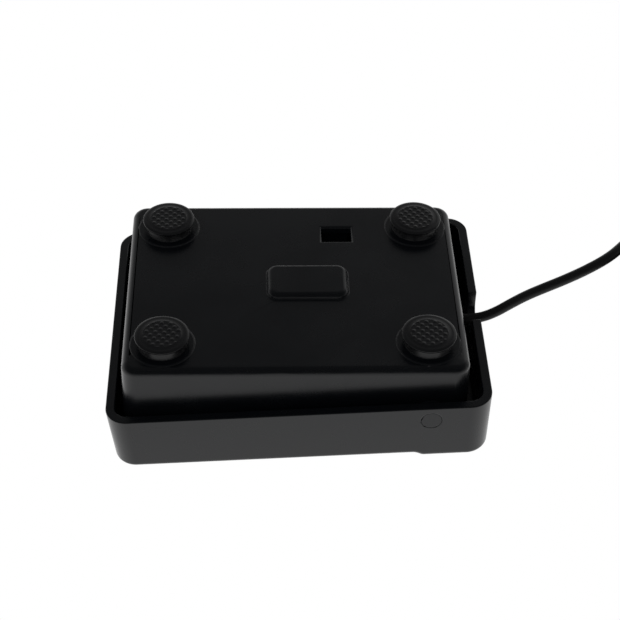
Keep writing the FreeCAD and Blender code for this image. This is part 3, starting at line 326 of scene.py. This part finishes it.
def weave_group():
    """Plain weave on the piece's UV map: the product of a sine wave along and one across."""
    tree, source, target = new_group(
        "Weave", [("Threads across", 14.0), ("Threads along", 120.0)],
        [("Height", "NodeSocketFloat")])
    place = place_node(tree, "ShaderNodeTexCoord", -900, 300)
    parts = place_node(tree, "ShaderNodeSeparateXYZ", -700, 300)
    tree.links.new(place.outputs["UV"], parts.inputs[0])
    waves = []
    for row, (axis, count) in enumerate((("X", "Threads along"), ("Y", "Threads across"))):
        scale = place_node(tree, "ShaderNodeMath", -500, 200 - 250 * row, operation="MULTIPLY")
        turn = place_node(tree, "ShaderNodeMath", -300, 200 - 250 * row, operation="MULTIPLY")
        turn.inputs[1].default_value = 2 * math.pi
        wave = place_node(tree, "ShaderNodeMath", -100, 200 - 250 * row, operation="SINE")
        tree.links.new(parts.outputs[axis], scale.inputs[0])
        tree.links.new(source.outputs[count], scale.inputs[1])
        tree.links.new(scale.outputs[0], turn.inputs[0])
        tree.links.new(turn.outputs[0], wave.inputs[0])
        waves.append(wave)
    cross = place_node(tree, "ShaderNodeMath", 150, 100, operation="MULTIPLY")
    tree.links.new(waves[0].outputs[0], cross.inputs[0])
    tree.links.new(waves[1].outputs[0], cross.inputs[1])
    tree.links.new(cross.outputs[0], target.inputs["Height"])
    return tree


GROUPS = {}


def group(name):
    """The grain or the weave, made at its first use."""
    makers = {"grain": mould_grain_group, "weave": weave_group}
    if name not in GROUPS:
        GROUPS[name] = makers[name]()
    return GROUPS[name]


def textured_material(name, colour, contrast, texture_name, colour_mask, strength, depth):
    """A material whose bump and colour follow a texture group, with its tree, shader and texture."""
    material = bpy.data.materials.new(name)
    material.use_nodes = True
    tree = material.node_tree
    shader = tree.nodes["Principled BSDF"]
    shader.location = (300, 0)
    texture = place_node(tree, "ShaderNodeGroup", -600, -200)
    texture.node_tree = group(texture_name)
    bump = place_node(tree, "ShaderNodeBump", 0, -300, Strength=strength, Distance=depth)
    tree.links.new(texture.outputs["Height"], bump.inputs["Height"])
    tree.links.new(bump.outputs["Normal"], shader.inputs["Normal"])
    shade = place_node(tree, "ShaderNodeMix", -200, 300, data_type="RGBA")
    shade.inputs[6].default_value = (*[channel * (1 - contrast) for channel in colour], 1)
    shade.inputs[7].default_value = (*[channel * (1 + contrast) for channel in colour], 1)
    tree.links.new(texture.outputs[colour_mask], shade.inputs[0])
    tree.links.new(shade.outputs[2], shader.inputs["Base Color"])
    return material, tree, shader, texture


def finish_material(name, colour, roughness, metallic=0.0, grain_scale=900.0, grain=0.02, wear=0.05,
                    coat=0.0, ior=1.5):
    """A moulded, drawn or plated finish: grain in the bump, patches in roughness and colour."""
    material, tree, shader, texture = textured_material(
        name, colour, contrast=0.1, texture_name="grain", colour_mask="Patches", strength=grain,
        depth=0.2 * MM)
    shader.inputs["Metallic"].default_value = metallic
    shader.inputs["IOR"].default_value = ior
    shader.inputs["Coat Weight"].default_value = coat
    texture.inputs["Scale"].default_value = grain_scale
    rough = place_node(
        tree, "ShaderNodeMapRange", -200, 0, To_Min=roughness - wear, To_Max=roughness + wear)
    tree.links.new(texture.outputs["Patches"], rough.inputs["Value"])
    tree.links.new(rough.outputs["Result"], shader.inputs["Roughness"])
    return material


def woven_material(name, colour):
    """Strap webbing: a weave in the bump and in the colour, and a matt sheen."""
    material, _, shader, _ = textured_material(
        name, colour, contrast=0.4, texture_name="weave", colour_mask="Height", strength=0.6,
        depth=0.15 * MM)
    shader.inputs["Roughness"].default_value = 0.85
    shader.inputs["Sheen Weight"].default_value = 0.3
    return material


# Mesh helpers

def finished_copy(node, body, material, edge):
    """The node's own surface, merged and shaded smooth up to an angle, its crisp edges rounded."""
    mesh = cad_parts[node].data.copy()
    mesh.name = node + "_finished"
    work = bmesh.new()
    work.from_mesh(mesh)
    bmesh.ops.remove_doubles(work, verts=work.verts, dist=MERGE_DISTANCE)
    bmesh.ops.dissolve_limit(work, angle_limit=FLAT_ANGLE, verts=[], edges=work.edges)
    for face in work.faces:
        face.smooth = True
    work.to_mesh(mesh)
    work.free()
    mesh.set_sharp_from_angle(angle=SMOOTH_ANGLE)
    mesh.materials.clear()
    mesh.materials.append(material)
    piece = add_object(node + "_finished", mesh, body)
    bevel = piece.modifiers.new("Crisp edges", "BEVEL")
    bevel.width = edge
    bevel.segments = 3
    bevel.use_clamp_overlap = False
    bevel.limit_method = "ANGLE"
    bevel.angle_limit = CRISP_ANGLE
    flat = piece.modifiers.new("Flat faces", "WEIGHTED_NORMAL")
    flat.keep_sharp = True
    flat.weight = FLAT_FACE_WEIGHT
    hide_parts(node)
    return piece


def dress(node, material):
    """Gives a carried-over node its finish."""
    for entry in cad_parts[node].material_slots:
        entry.material = material


def grid_faces(rows, columns):
    """Quads between neighbouring rings of a grid whose columns close on themselves."""
    row = np.arange(rows - 1)[:, None] * columns
    column = np.arange(columns)[None, :]
    following = (column + 1) % columns
    corners = [row + column, row + following, row + columns + following, row + columns + column]
    return np.stack(corners, axis=-1).reshape(-1, 4)


def ring_mesh(name, rings, start, end):
    """Mesh from an array of closed rings (rows, columns, 3), shut by a point at either end."""
    rows, columns, _ = rings.shape
    points = np.vstack([rings.reshape(-1, 3), start, end])
    around = np.arange(columns)
    following = (around + 1) % columns
    last = (rows - 1) * columns
    pole = np.full(columns, rows * columns)
    faces = grid_faces(rows, columns).tolist()
    faces += np.stack([pole, following, around], axis=1).tolist()
    faces += np.stack([last + around, last + following, pole + 1], axis=1).tolist()
    mesh = bpy.data.meshes.new(name)
    mesh.from_pydata(points.tolist(), [], faces)
    mesh.update()
    return mesh


def smooth_outward(mesh):
    """Turns all faces outwards and shades smooth up to an angle."""
    work = bmesh.new()
    work.from_mesh(mesh)
    bmesh.ops.recalc_face_normals(work, faces=work.faces)
    for face in work.faces:
        face.smooth = True
    work.to_mesh(mesh)
    work.free()
    mesh.set_sharp_from_angle(angle=TURNED_ANGLE)


def foot_mesh(name, low, high, twist):
    """Turned rubber foot with a chequered disc on its cap.

    A point at angle a on a ring of radius r stands at height z(r). The smooth ring falls away from
    the disc by a square law, turns over the cap's edge on an arc and runs back to the flared waist.
    On the disc the height sinks by the depth times 1 - sin(pi x / side) sin(pi y / side), never by
    more than the depth, where x and y are turned by the foot's own twist. At its edge it sinks by the
    whole depth.
    """
    sizes = settings()
    middle = (np.array(low) + np.array(high)) / 2
    cap = (high[0] - low[0]) / 2
    disc = cap * sizes.tread_share
    disc_radii = np.linspace(disc / DISC_RINGS, disc, DISC_RINGS)
    flat_end = cap - RING_WIDTH
    run = RING_WIDTH - CAP_EDGE * (1 - math.sin(SHOULDER_TILT))
    fall = math.tan(SHOULDER_TILT) * run / 2
    share = np.linspace(0, 1, 10)
    shoulder = np.stack([flat_end + run * share, RING_DEPTH + fall * share ** 2], axis=1)
    tilt = np.linspace(SHOULDER_TILT, SIDE_TILT, 9)[1:]
    edge_middle = RING_DEPTH + fall + CAP_EDGE * math.cos(SHOULDER_TILT)
    edge = np.stack([cap - CAP_EDGE * (1 - np.sin(tilt)),
                     edge_middle - CAP_EDGE * np.cos(tilt)], axis=1)
    waist = np.stack([WAIST_RADIUS + WAIST_SPLAY * share + WAIST_CURL * share ** 2,
                      WAIST_START + WAIST_LENGTH * share], axis=1)
    stem = [(STEM_RADIUS, STEM_START), (STEM_RADIUS, BARB_START), (BARB_RADIUS, BARB_START),
            (STEM_RADIUS, STEM_END)]
    shape = np.vstack([
        np.stack([disc_radii, np.zeros(DISC_RINGS)], axis=1),
        [(disc + DISC_GAP, RING_DEPTH)],
        shoulder,
        edge,
        [(cap - inset, depth) for inset, depth in CAP_BACK],
        [WAIST_CORNER],
        waist,
        stem,
    ])
    turn = np.linspace(0, 2 * math.pi, FOOT_COLUMNS, endpoint=False)
    radius = shape[:, 0][:, None]
    x = radius * np.cos(turn)
    y = radius * np.sin(turn)
    z = np.repeat(shape[:, 1][:, None], FOOT_COLUMNS, axis=1)
    along = x * math.cos(twist) + y * math.sin(twist)
    across = y * math.cos(twist) - x * math.sin(twist)
    rate = math.pi / sizes.chequer_side
    wave = np.sin(rate * along) * np.sin(rate * across)
    inside = np.clip((disc - radius) / DISC_FADE, 0, 1)
    sunk = 1 - inside * np.clip(wave, 0, 1)
    on_disc = np.arange(len(shape))[:, None] < DISC_RINGS
    z = z + np.where(on_disc, sizes.chequer_depth * sunk, 0)
    rings = np.stack([x + middle[0], y + middle[1], z], axis=-1)
    face_middle = [middle[0], middle[1], z[0].mean()]
    stem_middle = [middle[0], middle[1], STEM_END]
    mesh = ring_mesh(name, rings, face_middle, stem_middle)
    smooth_outward(mesh)
    return mesh


def tube_mesh(name, path, radius):
    """Round wire along a path.

    Each ring is the path's point plus the radius times (cos a n + sin a b), where n is level and
    square to the heading, and b is square to both.
    """
    heading = np.gradient(path, axis=0)
    heading /= np.linalg.norm(heading, axis=1)[:, None]
    upright = np.array([0.0, 0.0, 1.0])
    side = np.cross(heading, upright)
    side /= np.linalg.norm(side, axis=1)[:, None]
    above = np.cross(side, heading)
    turn = np.linspace(0, 2 * math.pi, WIRE_COLUMNS, endpoint=False)[None, :, None]
    rings = path[:, None] + radius * (np.cos(turn) * side[:, None] + np.sin(turn) * above[:, None])
    mesh = ring_mesh(name, rings, path[0], path[-1])
    smooth_outward(mesh)
    return mesh


def spring_path(low, high):
    """Middle line of a spring: a helix with shut end turns.

    The angle grows evenly. The height is the running sum of a pitch that is just over one wire at the
    ends and eases to a wider one over the first turn and the last.
    """
    sizes = settings()
    wire = sizes.spring_wire
    turns = sizes.spring_turns
    wound = np.linspace(0, turns, turns * STEPS_PER_TURN)
    ease = eased(np.clip(np.minimum(wound, turns - wound), 0, 1))
    height = high[2] - low[2] - wire
    flat = SHUT_PITCH * wire
    extra = (height - flat * turns) / (np.diff(wound) * (ease[1:] + ease[:-1]) / 2).sum()
    pitch = flat + extra * ease
    rise = np.concatenate([[0], np.cumsum((pitch[1:] + pitch[:-1]) / 2 * np.diff(wound))])
    rise *= height / rise[-1]
    radius = (high[0] - low[0] - wire) / 2
    middle = (np.array(low) + np.array(high)) / 2
    angle = 2 * math.pi * wound
    return np.stack([middle[0] + radius * np.cos(angle), middle[1] + radius * np.sin(angle),
                     low[2] + wire / 2 + rise], axis=1)


def strap_mesh(name, low, high, thickness):
    """Strap wound once and a quarter round the coil's section.

    The path is a rounded rectangle in X and Z: straight sides and quarter circles. Its offset from
    the coil grows by one thickness where the overlap starts, and the strap is that line carried
    along Y.
    """
    half_x = (high[0] - low[0]) / 2 - thickness
    half_z = (high[2] - low[2]) / 2 - thickness
    middle = (np.array(low) + np.array(high)) / 2
    bend = np.linspace(0, math.pi / 2, BEND_POINTS)
    path = []
    for quarter in range(4):
        centre_x = (half_x - STRAP_CORNER) * (1 if quarter in (0, 3) else -1)
        centre_z = (half_z - STRAP_CORNER) * (1 if quarter in (0, 1) else -1)
        angle = quarter * math.pi / 2 + bend
        path.append(np.stack([
            centre_x + STRAP_CORNER * np.cos(angle), centre_z + STRAP_CORNER * np.sin(angle),
            np.cos(angle), np.sin(angle)], axis=1))
    loop = np.vstack(path + [path[0], path[1][:1]])
    length = np.concatenate([[0], np.cumsum(np.linalg.norm(np.diff(loop[:, :2], axis=0), axis=1))])
    lift_start, lift_end = length[4 * BEND_POINTS - 2], length[4 * BEND_POINTS + 1]
    fine = np.linspace(0, length[-1], STRAP_STEPS)
    edge_x, edge_z, out_x, out_z = [np.interp(fine, length, loop[:, column]) for column in range(4)]
    share = np.clip((fine - lift_start) / (lift_end - lift_start), 0, 1)
    lift = thickness * (0.5 + OVERLAP_LIFT * eased(share))
    x = middle[0] + edge_x + lift * out_x
    z = middle[2] + edge_z + lift * out_z
    width = (high[1] - low[1]) / 2
    across = np.linspace(-width, width, STRAP_COLUMNS)
    points = np.stack([
        np.repeat(x, STRAP_COLUMNS), np.tile(across, STRAP_STEPS) + middle[1],
        np.repeat(z, STRAP_COLUMNS)], axis=1)
    row = np.arange(STRAP_STEPS - 1)[:, None] * STRAP_COLUMNS
    first = row + np.arange(STRAP_COLUMNS - 1)[None, :]
    next_row = first + STRAP_COLUMNS
    faces = np.stack([first, first + 1, next_row + 1, next_row], axis=-1).reshape(-1, 4)
    mesh = bpy.data.meshes.new(name)
    mesh.from_pydata(points.tolist(), [], faces.tolist())
    uv = mesh.uv_layers.new(name="UVMap")
    corner_vertex = np.empty(len(mesh.loops), dtype=np.int32)
    mesh.loops.foreach_get("vertex_index", corner_vertex)
    along = np.repeat(fine / fine[-1], STRAP_COLUMNS)
    places = np.stack([along, np.tile(np.linspace(0, 1, STRAP_COLUMNS), STRAP_STEPS)], axis=1)
    uv.data.foreach_set("uv", places[corner_vertex].astype(np.float32).ravel())
    mesh.polygons.foreach_set("use_smooth", np.ones(len(mesh.polygons), dtype=bool))
    mesh.update()
    return mesh


def coil_points():
    """Control points of the wound cable.

    The radius falls or grows by one pitch a turn and turns back with every new layer, where the
    height climbs one pitch over half a turn. A quadratic spline runs inside its points by the cosine
    of half their spacing, so the radius is divided by it.
    """
    sizes = settings()
    turns = np.arange(0, COIL_TURNS * POINTS_PER_TURN + 1) / POINTS_PER_TURN
    layer = np.minimum(COIL_LAYERS - 1, turns // TURNS_PER_LAYER)
    within = turns - TURNS_PER_LAYER * layer
    run = np.where(layer % 2 == 0, within, TURNS_PER_LAYER - within)
    radius = (sizes.coil_radius - sizes.coil_pitch * run) / math.cos(math.pi / POINTS_PER_TURN)
    height = np.full(len(turns), COIL_LIFT)
    for change in range(1, COIL_LAYERS):
        past = turns - TURNS_PER_LAYER * change
        height = height + sizes.coil_pitch * eased(np.clip(past / CLIMB_TURNS + 0.5, 0, 1))
    angle = 2 * math.pi * turns
    return np.stack([COIL_MIDDLE[0] + radius * np.cos(angle), COIL_MIDDLE[1] + radius * np.sin(angle),
                     height], axis=1)


# Operators, one for each group of pieces

class PEDAL_OT_camera(bpy.types.Operator):
    """Camera at the picture's viewing angle."""
    bl_idname = "pedal.camera"
    bl_label = "Camera"

    def execute(self, context):
        def to_part(right, away, up):
            """The picture's axes in the part's frame."""
            return np.array([away, right, -up])

        yaw, pitch, roll = CAMERA_YAW, CAMERA_PITCH, CAMERA_ROLL
        ahead = np.array([
            math.sin(yaw) * math.cos(pitch), math.cos(yaw) * math.cos(pitch), -math.sin(pitch)])
        level = np.array([math.cos(yaw), -math.sin(yaw), 0.0])
        steep = np.cross(ahead, level)
        right = math.cos(roll) * level + math.sin(roll) * steep
        down = math.cos(roll) * steep - math.sin(roll) * level
        columns = [to_part(*right), -to_part(*down), -to_part(*ahead)]
        place = to_part(CAMERA_RIGHT, CAMERA_AWAY, CAMERA_UP) + [0, -TRAY_SETBACK, TRAY_BOTTOM]
        data = bpy.data.cameras.new("Camera")
        data.sensor_width = SENSOR
        data.lens = SENSOR * FOCAL_PIXELS / PICTURE_SIDE
        data.clip_start = 0.01
        camera = bpy.data.objects.new("Camera", data)
        turned = Matrix([[float(column[row]) for column in columns] for row in range(3)]).to_4x4()
        camera.matrix_world = Matrix.Translation(Vector(place)) @ turned
        context.scene.collection.objects.link(camera)
        context.scene.camera = camera
        return {"FINISHED"}


class PEDAL_OT_cable(bpy.types.Operator):
    """Cable as one smooth spline: the free stretch, the stored coil and the tail to the plug."""
    bl_idname = "pedal.cable"
    bl_label = "Cable"

    def execute(self, context):
        sizes = settings()
        points = np.vstack([CABLE_ROUTE, coil_points(), TAIL_ROUTE])
        curve = bpy.data.curves.new("data_cable", "CURVE")
        curve.dimensions = "3D"
        curve.bevel_depth = sizes.cable_diameter / 2
        curve.bevel_resolution = 6
        curve.use_fill_caps = True
        curve.resolution_u = 6
        spline = curve.splines.new("NURBS")
        spline.points.add(len(points) - 1)
        spline.points.foreach_set("co", np.hstack([points, np.ones((len(points), 1))]).ravel())
        spline.order_u = 3
        spline.use_endpoint_u = True
        material = finish_material(
            "cable jacket", colours().jacket, 0.45, grain_scale=1400.0, grain=0.03, ior=1.33)
        curve.materials.append(material)
        cable = add_object("data_cable", curve)
        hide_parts("cable_run", "cable_coil", "cable_tail")
        dress("cable_inner_run", material)
        plug = [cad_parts[name] for name in ("usb_plug_tongue", "usb_plug_contacts")]
        for name in ("usb_plug_body_finished", "usb_plug_shell_finished", "coil_strap"):
            plug.append(bpy.data.objects[name])
        return {"FINISHED"}


class PEDAL_OT_plug(bpy.types.Operator):
    """Plug on the cable's far end and the strap round the coil."""
    bl_idname = "pedal.plug"
    bl_label = "Plug and strap"

    def execute(self, context):
        sizes = settings()
        overmould = finish_material("plug overmould", (0.006, 0.006, 0.0065), 0.42, grain=0.05)
        steel = finish_material(
            "plug steel", (0.62, 0.61, 0.59), 0.24, metallic=1.0, grain_scale=300.0, grain=0.01)
        finished_copy("usb_plug_body", "tray", overmould, edge=0.2 * MM)
        finished_copy("usb_plug_shell", "tray", steel, edge=0.1 * MM)
        nylon = finish_material("plug tongue", (0.75, 0.74, 0.71), 0.45)
        gold = finish_material("contact gold", (0.9, 0.62, 0.22), 0.2, metallic=1.0)
        dress("usb_plug_tongue", nylon)
        dress("usb_plug_contacts", gold)
        low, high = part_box("cable_tie")
        mesh = strap_mesh("coil_strap", low, high, sizes.strap_thickness)
        mesh.materials.append(woven_material("strap webbing", (0.02, 0.02, 0.022)))
        strap = add_object("coil_strap", mesh)
        thick = strap.modifiers.new("Thickness", "SOLIDIFY")
        thick.thickness = sizes.strap_thickness * WEBBING_SHARE
        thick.offset = 0
        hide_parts("cable_tie")
        return {"FINISHED"}


class PEDAL_OT_mouldings(bpy.types.Operator):
    """Cover and tray in black plastic, and the hinge pins."""
    bl_idname = "pedal.mouldings"
    bl_label = "Cover and tray"

    def execute(self, context):
        sizes = settings()
        colour = colours().plastic
        plastic = finish_material("black moulding", colour, 0.26, grain=0.02, wear=0.03, ior=1.42)
        finished_copy("pedal_shell", "pedal", plastic, edge=sizes.moulding_edge)
        finished_copy("base_tray", "tray", plastic, edge=sizes.moulding_edge)
        pins = finish_material("pin plastic", colour, 0.3, grain=0.03, ior=1.42)
        for side in ("left", "right"):
            finished_copy(f"hinge_pin_{side}", "pedal", pins, edge=0.2 * MM)
        return {"FINISHED"}


class PEDAL_OT_feet(bpy.types.Operator):
    """Rubber feet with chequered caps."""
    bl_idname = "pedal.feet"
    bl_label = "Feet"

    def execute(self, context):
        rubber = finish_material(
            "foot rubber", colours().rubber, 0.24, grain=0.04, wear=0.04, ior=1.42)
        for node, twist in FOOT_TWISTS.items():
            low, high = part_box(node)
            mesh = foot_mesh(node + "_rubber", low, high, twist)
            mesh.materials.append(rubber)
            foot = add_object(node + "_rubber", mesh)
            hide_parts(node)
        return {"FINISHED"}


class PEDAL_OT_springs(bpy.types.Operator):
    """Return springs, wound at their length at rest."""
    bl_idname = "pedal.springs"
    bl_label = "Return springs"

    def execute(self, context):
        sizes = settings()
        steel = finish_material(
            "spring steel", (0.55, 0.55, 0.56), 0.3, metallic=1.0, grain_scale=500.0, grain=0.01)
        for side in ("left", "right"):
            node = f"return_spring_{side}"
            low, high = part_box(node)
            mesh = tube_mesh(node + "_coil", spring_path(low, high), sizes.spring_wire / 2)
            mesh.materials.append(steel)
            spring = add_object(node + "_coil", mesh)
            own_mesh(spring)
            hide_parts(node)
        return {"FINISHED"}


class PEDAL_OT_electronics(bpy.types.Operator):
    """Board, switch, wiring, clamp and grommet inside the tray."""
    bl_idname = "pedal.electronics"
    bl_label = "Electronics"

    def execute(self, context):
        laminate = finish_material(
            "solder mask", colours().laminate, 0.3, coat=0.3, grain_scale=400.0)
        screw = finish_material("zinc plate", (0.6, 0.6, 0.6), 0.3, metallic=1.0, grain_scale=600.0)
        ivory = finish_material("ivory nylon", (0.72, 0.69, 0.6), 0.45)
        black = finish_material("filled nylon", (0.02, 0.02, 0.02), 0.5, grain=0.05)
        tin = finish_material("tinned brass", (0.7, 0.7, 0.67), 0.25, metallic=1.0)
        finishes = {
            "circuit_board": laminate,
            "board_screws": screw,
            "clamp_screws": screw,
            "controller_chip": finish_material("chip epoxy", (0.015, 0.015, 0.016), 0.55, grain=0.08),
            "timing_crystal": finish_material("crystal can", (0.68, 0.68, 0.66), 0.28, metallic=1.0),
            "board_capacitors": finish_material("capacitor sleeve", (0.01, 0.015, 0.09), 0.3),
            "micro_switch_case": black,
            "switch_plunger": ivory,
            "switch_terminals": tin,
            "wire_socket": ivory,
            "wire_plug": ivory,
            "cable_clamp": black,
            "wire_core_power": finish_material("red insulation", (0.45, 0.01, 0.01), 0.35),
            "wire_core_data_minus": finish_material("white insulation", (0.7, 0.7, 0.68), 0.35),
            "wire_core_data_plus": finish_material("green insulation", (0.01, 0.2, 0.04), 0.35),
            "wire_core_ground": finish_material("black insulation", (0.01, 0.01, 0.01), 0.35),
        }
        for node, material in finishes.items():
            dress(node, material)
        rubber = finish_material("grommet rubber", colours().rubber, 0.45, grain=0.06)
        finished_copy("cable_grommet", "tray", rubber, edge=0.15 * MM)
        return {"FINISHED"}


class PEDAL_OT_stage(bpy.types.Operator):
    """Pale floor, white surroundings and soft lamps."""
    bl_idname = "pedal.stage"
    bl_label = "Stage"

    def execute(self, context):
        studio = context.scene.pedal_studio
        self.world(studio)
        self.floor()
        for name, place, side, power in LAMPS:
            self.lamp(name, place, side, getattr(studio, power))
        return {"FINISHED"}

    def lamp(self, name, place, side, power):
        """Square lamp turned to the origin and left out of reflections."""
        data = bpy.data.lights.new(name, "AREA")
        data.shape = "SQUARE"
        data.size = side
        data.energy = power
        lamp = bpy.data.objects.new(name, data)
        lamp.location = place
        lamp.rotation_euler = (-Vector(place)).to_track_quat("-Z", "Y").to_euler()
        lamp.visible_glossy = False
        bpy.context.scene.collection.objects.link(lamp)

    def world(self, studio):
        """White to the camera. Gloss sees white high up and less and less of it lower down, sooner on
        the near side than on the far side, with a soft window to the right.
        """
        world = bpy.data.worlds.new("Studio")
        bpy.context.scene.world = world
        world.use_nodes = True
        tree = world.node_tree
        shown = tree.nodes["Background"]
        place = place_node(tree, "ShaderNodeTexCoord", -1400, 0)
        parts = place_node(tree, "ShaderNodeSeparateXYZ", -1200, 0)
        tree.links.new(place.outputs["Generated"], parts.inputs[0])

        def ramp(y, source, limits, low, high):
            """Eases from low to high while the source goes from one limit to the other."""
            node = place_node(
                tree, "ShaderNodeMapRange", -900, y, interpolation_type="SMOOTHSTEP",
                From_Min=limits[0], From_Max=limits[1], To_Min=low, To_Max=high)
            tree.links.new(source, node.inputs["Value"])
            return node.outputs["Result"]

        far = ramp(200, parts.outputs["Z"], FAR_LIMITS, studio.sheen_far, studio.sheen_above)
        near = ramp(-50, parts.outputs["Z"], NEAR_LIMITS, studio.sheen_near, studio.sheen_above)
        side = ramp(-300, parts.outputs["X"], SIDE_LIMITS, 0.0, 1.0)
        aim = place_node(tree, "ShaderNodeVectorMath", -1200, -550, operation="DOT_PRODUCT")
        aim.inputs[1].default_value = WINDOW_AIM
        tree.links.new(place.outputs["Generated"], aim.inputs[0])
        window = ramp(-550, aim.outputs["Value"], WINDOW_LIMITS, 0.0, studio.window)
        sheen = place_node(tree, "ShaderNodeMix", -600, 100, data_type="FLOAT")
        tree.links.new(side, sheen.inputs[0])
        tree.links.new(near, sheen.inputs[2])
        tree.links.new(far, sheen.inputs[3])
        lit = place_node(tree, "ShaderNodeMath", -400, 0, operation="ADD")
        tree.links.new(sheen.outputs[0], lit.inputs[0])
        tree.links.new(window, lit.inputs[1])
        light = place_node(tree, "ShaderNodeLightPath", -600, 600)
        glossy = place_node(tree, "ShaderNodeMix", -200, 200, data_type="FLOAT")
        glossy.inputs[2].default_value = studio.room_light
        tree.links.new(light.outputs["Is Glossy Ray"], glossy.inputs[0])
        tree.links.new(lit.outputs[0], glossy.inputs[3])
        seen = place_node(tree, "ShaderNodeMath", -200, 500, operation="MAXIMUM")
        tree.links.new(light.outputs["Is Camera Ray"], seen.inputs[0])
        tree.links.new(light.outputs["Is Transmission Ray"], seen.inputs[1])
        final = place_node(tree, "ShaderNodeMix", 0, 300, data_type="FLOAT")
        final.inputs[3].default_value = 1.0
        tree.links.new(seen.outputs[0], final.inputs[0])
        tree.links.new(glossy.outputs[0], final.inputs[2])
        tree.links.new(final.outputs[0], shown.inputs["Strength"])
        shown.inputs["Color"].default_value = (1, 1, 1, 1)

    def floor(self):
        """Floor under the feet, seen from above and clear from below, paling to white far off."""
        far = FLOOR_REACH
        mesh = bpy.data.meshes.new("studio_floor")
        corners = [(-far, -far, 0), (far, -far, 0), (far, far, 0), (-far, far, 0)]
        mesh.from_pydata(corners, [], [(0, 1, 2, 3)])
        floor = bpy.data.objects.new("studio_floor", mesh)
        bpy.context.scene.collection.objects.link(floor)
        material = bpy.data.materials.new("studio floor")
        material.use_nodes = True
        tree = material.node_tree
        tree.nodes.clear()
        output = place_node(tree, "ShaderNodeOutputMaterial", 700, 0)
        lit = place_node(tree, "ShaderNodeBsdfDiffuse", -300, 100)
        lit.inputs["Color"].default_value = (*colours().floor, 1)
        bright = place_node(tree, "ShaderNodeEmission", -300, -100)
        clear = place_node(tree, "ShaderNodeBsdfTransparent", -300, -300)
        place = place_node(tree, "ShaderNodeTexCoord", -1100, 200)
        reach = place_node(tree, "ShaderNodeVectorMath", -900, 200, operation="LENGTH")
        fade = place_node(
            tree, "ShaderNodeMapRange", -600, 200, interpolation_type="SMOOTHSTEP",
            From_Min=FLOOR_FADE[0], From_Max=FLOOR_FADE[1])
        surface = place_node(tree, "ShaderNodeMixShader", 0, 0)
        light = place_node(tree, "ShaderNodeLightPath", -600, 600)
        facing = place_node(tree, "ShaderNodeNewGeometry", -600, 400)
        front = place_node(tree, "ShaderNodeMath", -300, 400, operation="SUBTRACT")
        front.inputs[0].default_value = 1.0
        show = place_node(tree, "ShaderNodeMath", 0, 400, operation="MULTIPLY")
        mixed = place_node(tree, "ShaderNodeMixShader", 400, 0)
        tree.links.new(place.outputs["Object"], reach.inputs[0])
        tree.links.new(reach.outputs["Value"], fade.inputs["Value"])
        tree.links.new(fade.outputs["Result"], surface.inputs[0])
        tree.links.new(lit.outputs[0], surface.inputs[1])
        tree.links.new(bright.outputs[0], surface.inputs[2])
        tree.links.new(facing.outputs["Backfacing"], front.inputs[1])
        tree.links.new(front.outputs[0], show.inputs[0])
        tree.links.new(light.outputs["Is Camera Ray"], show.inputs[1])
        tree.links.new(show.outputs[0], mixed.inputs[0])
        tree.links.new(clear.outputs[0], mixed.inputs[1])
        tree.links.new(surface.outputs[0], mixed.inputs[2])
        tree.links.new(mixed.outputs[0], output.inputs["Surface"])
        mesh.materials.append(material)


class PEDAL_PT_panel(bpy.types.Panel):
    """Lists the pedal's pieces and its studio."""
    bl_label = "Foot Pedal"
    bl_idname = "PEDAL_PT_panel"
    bl_space_type = "VIEW_3D"
    bl_region_type = "UI"
    bl_category = "Foot Pedal"

    def draw(self, context):
        for operator in OPERATORS:
            self.layout.operator(operator.bl_idname)


OPERATORS = (
    PEDAL_OT_camera,
    PEDAL_OT_mouldings,
    PEDAL_OT_feet,
    PEDAL_OT_springs,
    PEDAL_OT_electronics,
    PEDAL_OT_plug,
    PEDAL_OT_cable,
    PEDAL_OT_stage,
)
CLASSES = (PedalSizes, PedalColours, PedalStudio) + OPERATORS + (PEDAL_PT_panel,)


def register():
    for item in CLASSES:
        bpy.utils.register_class(item)
    bpy.types.Scene.pedal_sizes = PointerProperty(type=PedalSizes)
    bpy.types.Scene.pedal_colours = PointerProperty(type=PedalColours)
    bpy.types.Scene.pedal_studio = PointerProperty(type=PedalStudio)


def unregister():
    del bpy.types.Scene.pedal_studio
    del bpy.types.Scene.pedal_colours
    del bpy.types.Scene.pedal_sizes
    for item in reversed(CLASSES):
        bpy.utils.unregister_class(item)


def main():
    register()
    bpy.context.scene.view_settings.view_transform = "Standard"
    bpy.ops.pedal.camera()
    bpy.ops.pedal.mouldings()
    bpy.ops.pedal.feet()
    bpy.ops.pedal.springs()
    bpy.ops.pedal.electronics()
    bpy.ops.pedal.plug()
    bpy.ops.pedal.cable()
    bpy.ops.pedal.stage()


if __name__ == "__main__":
    main()
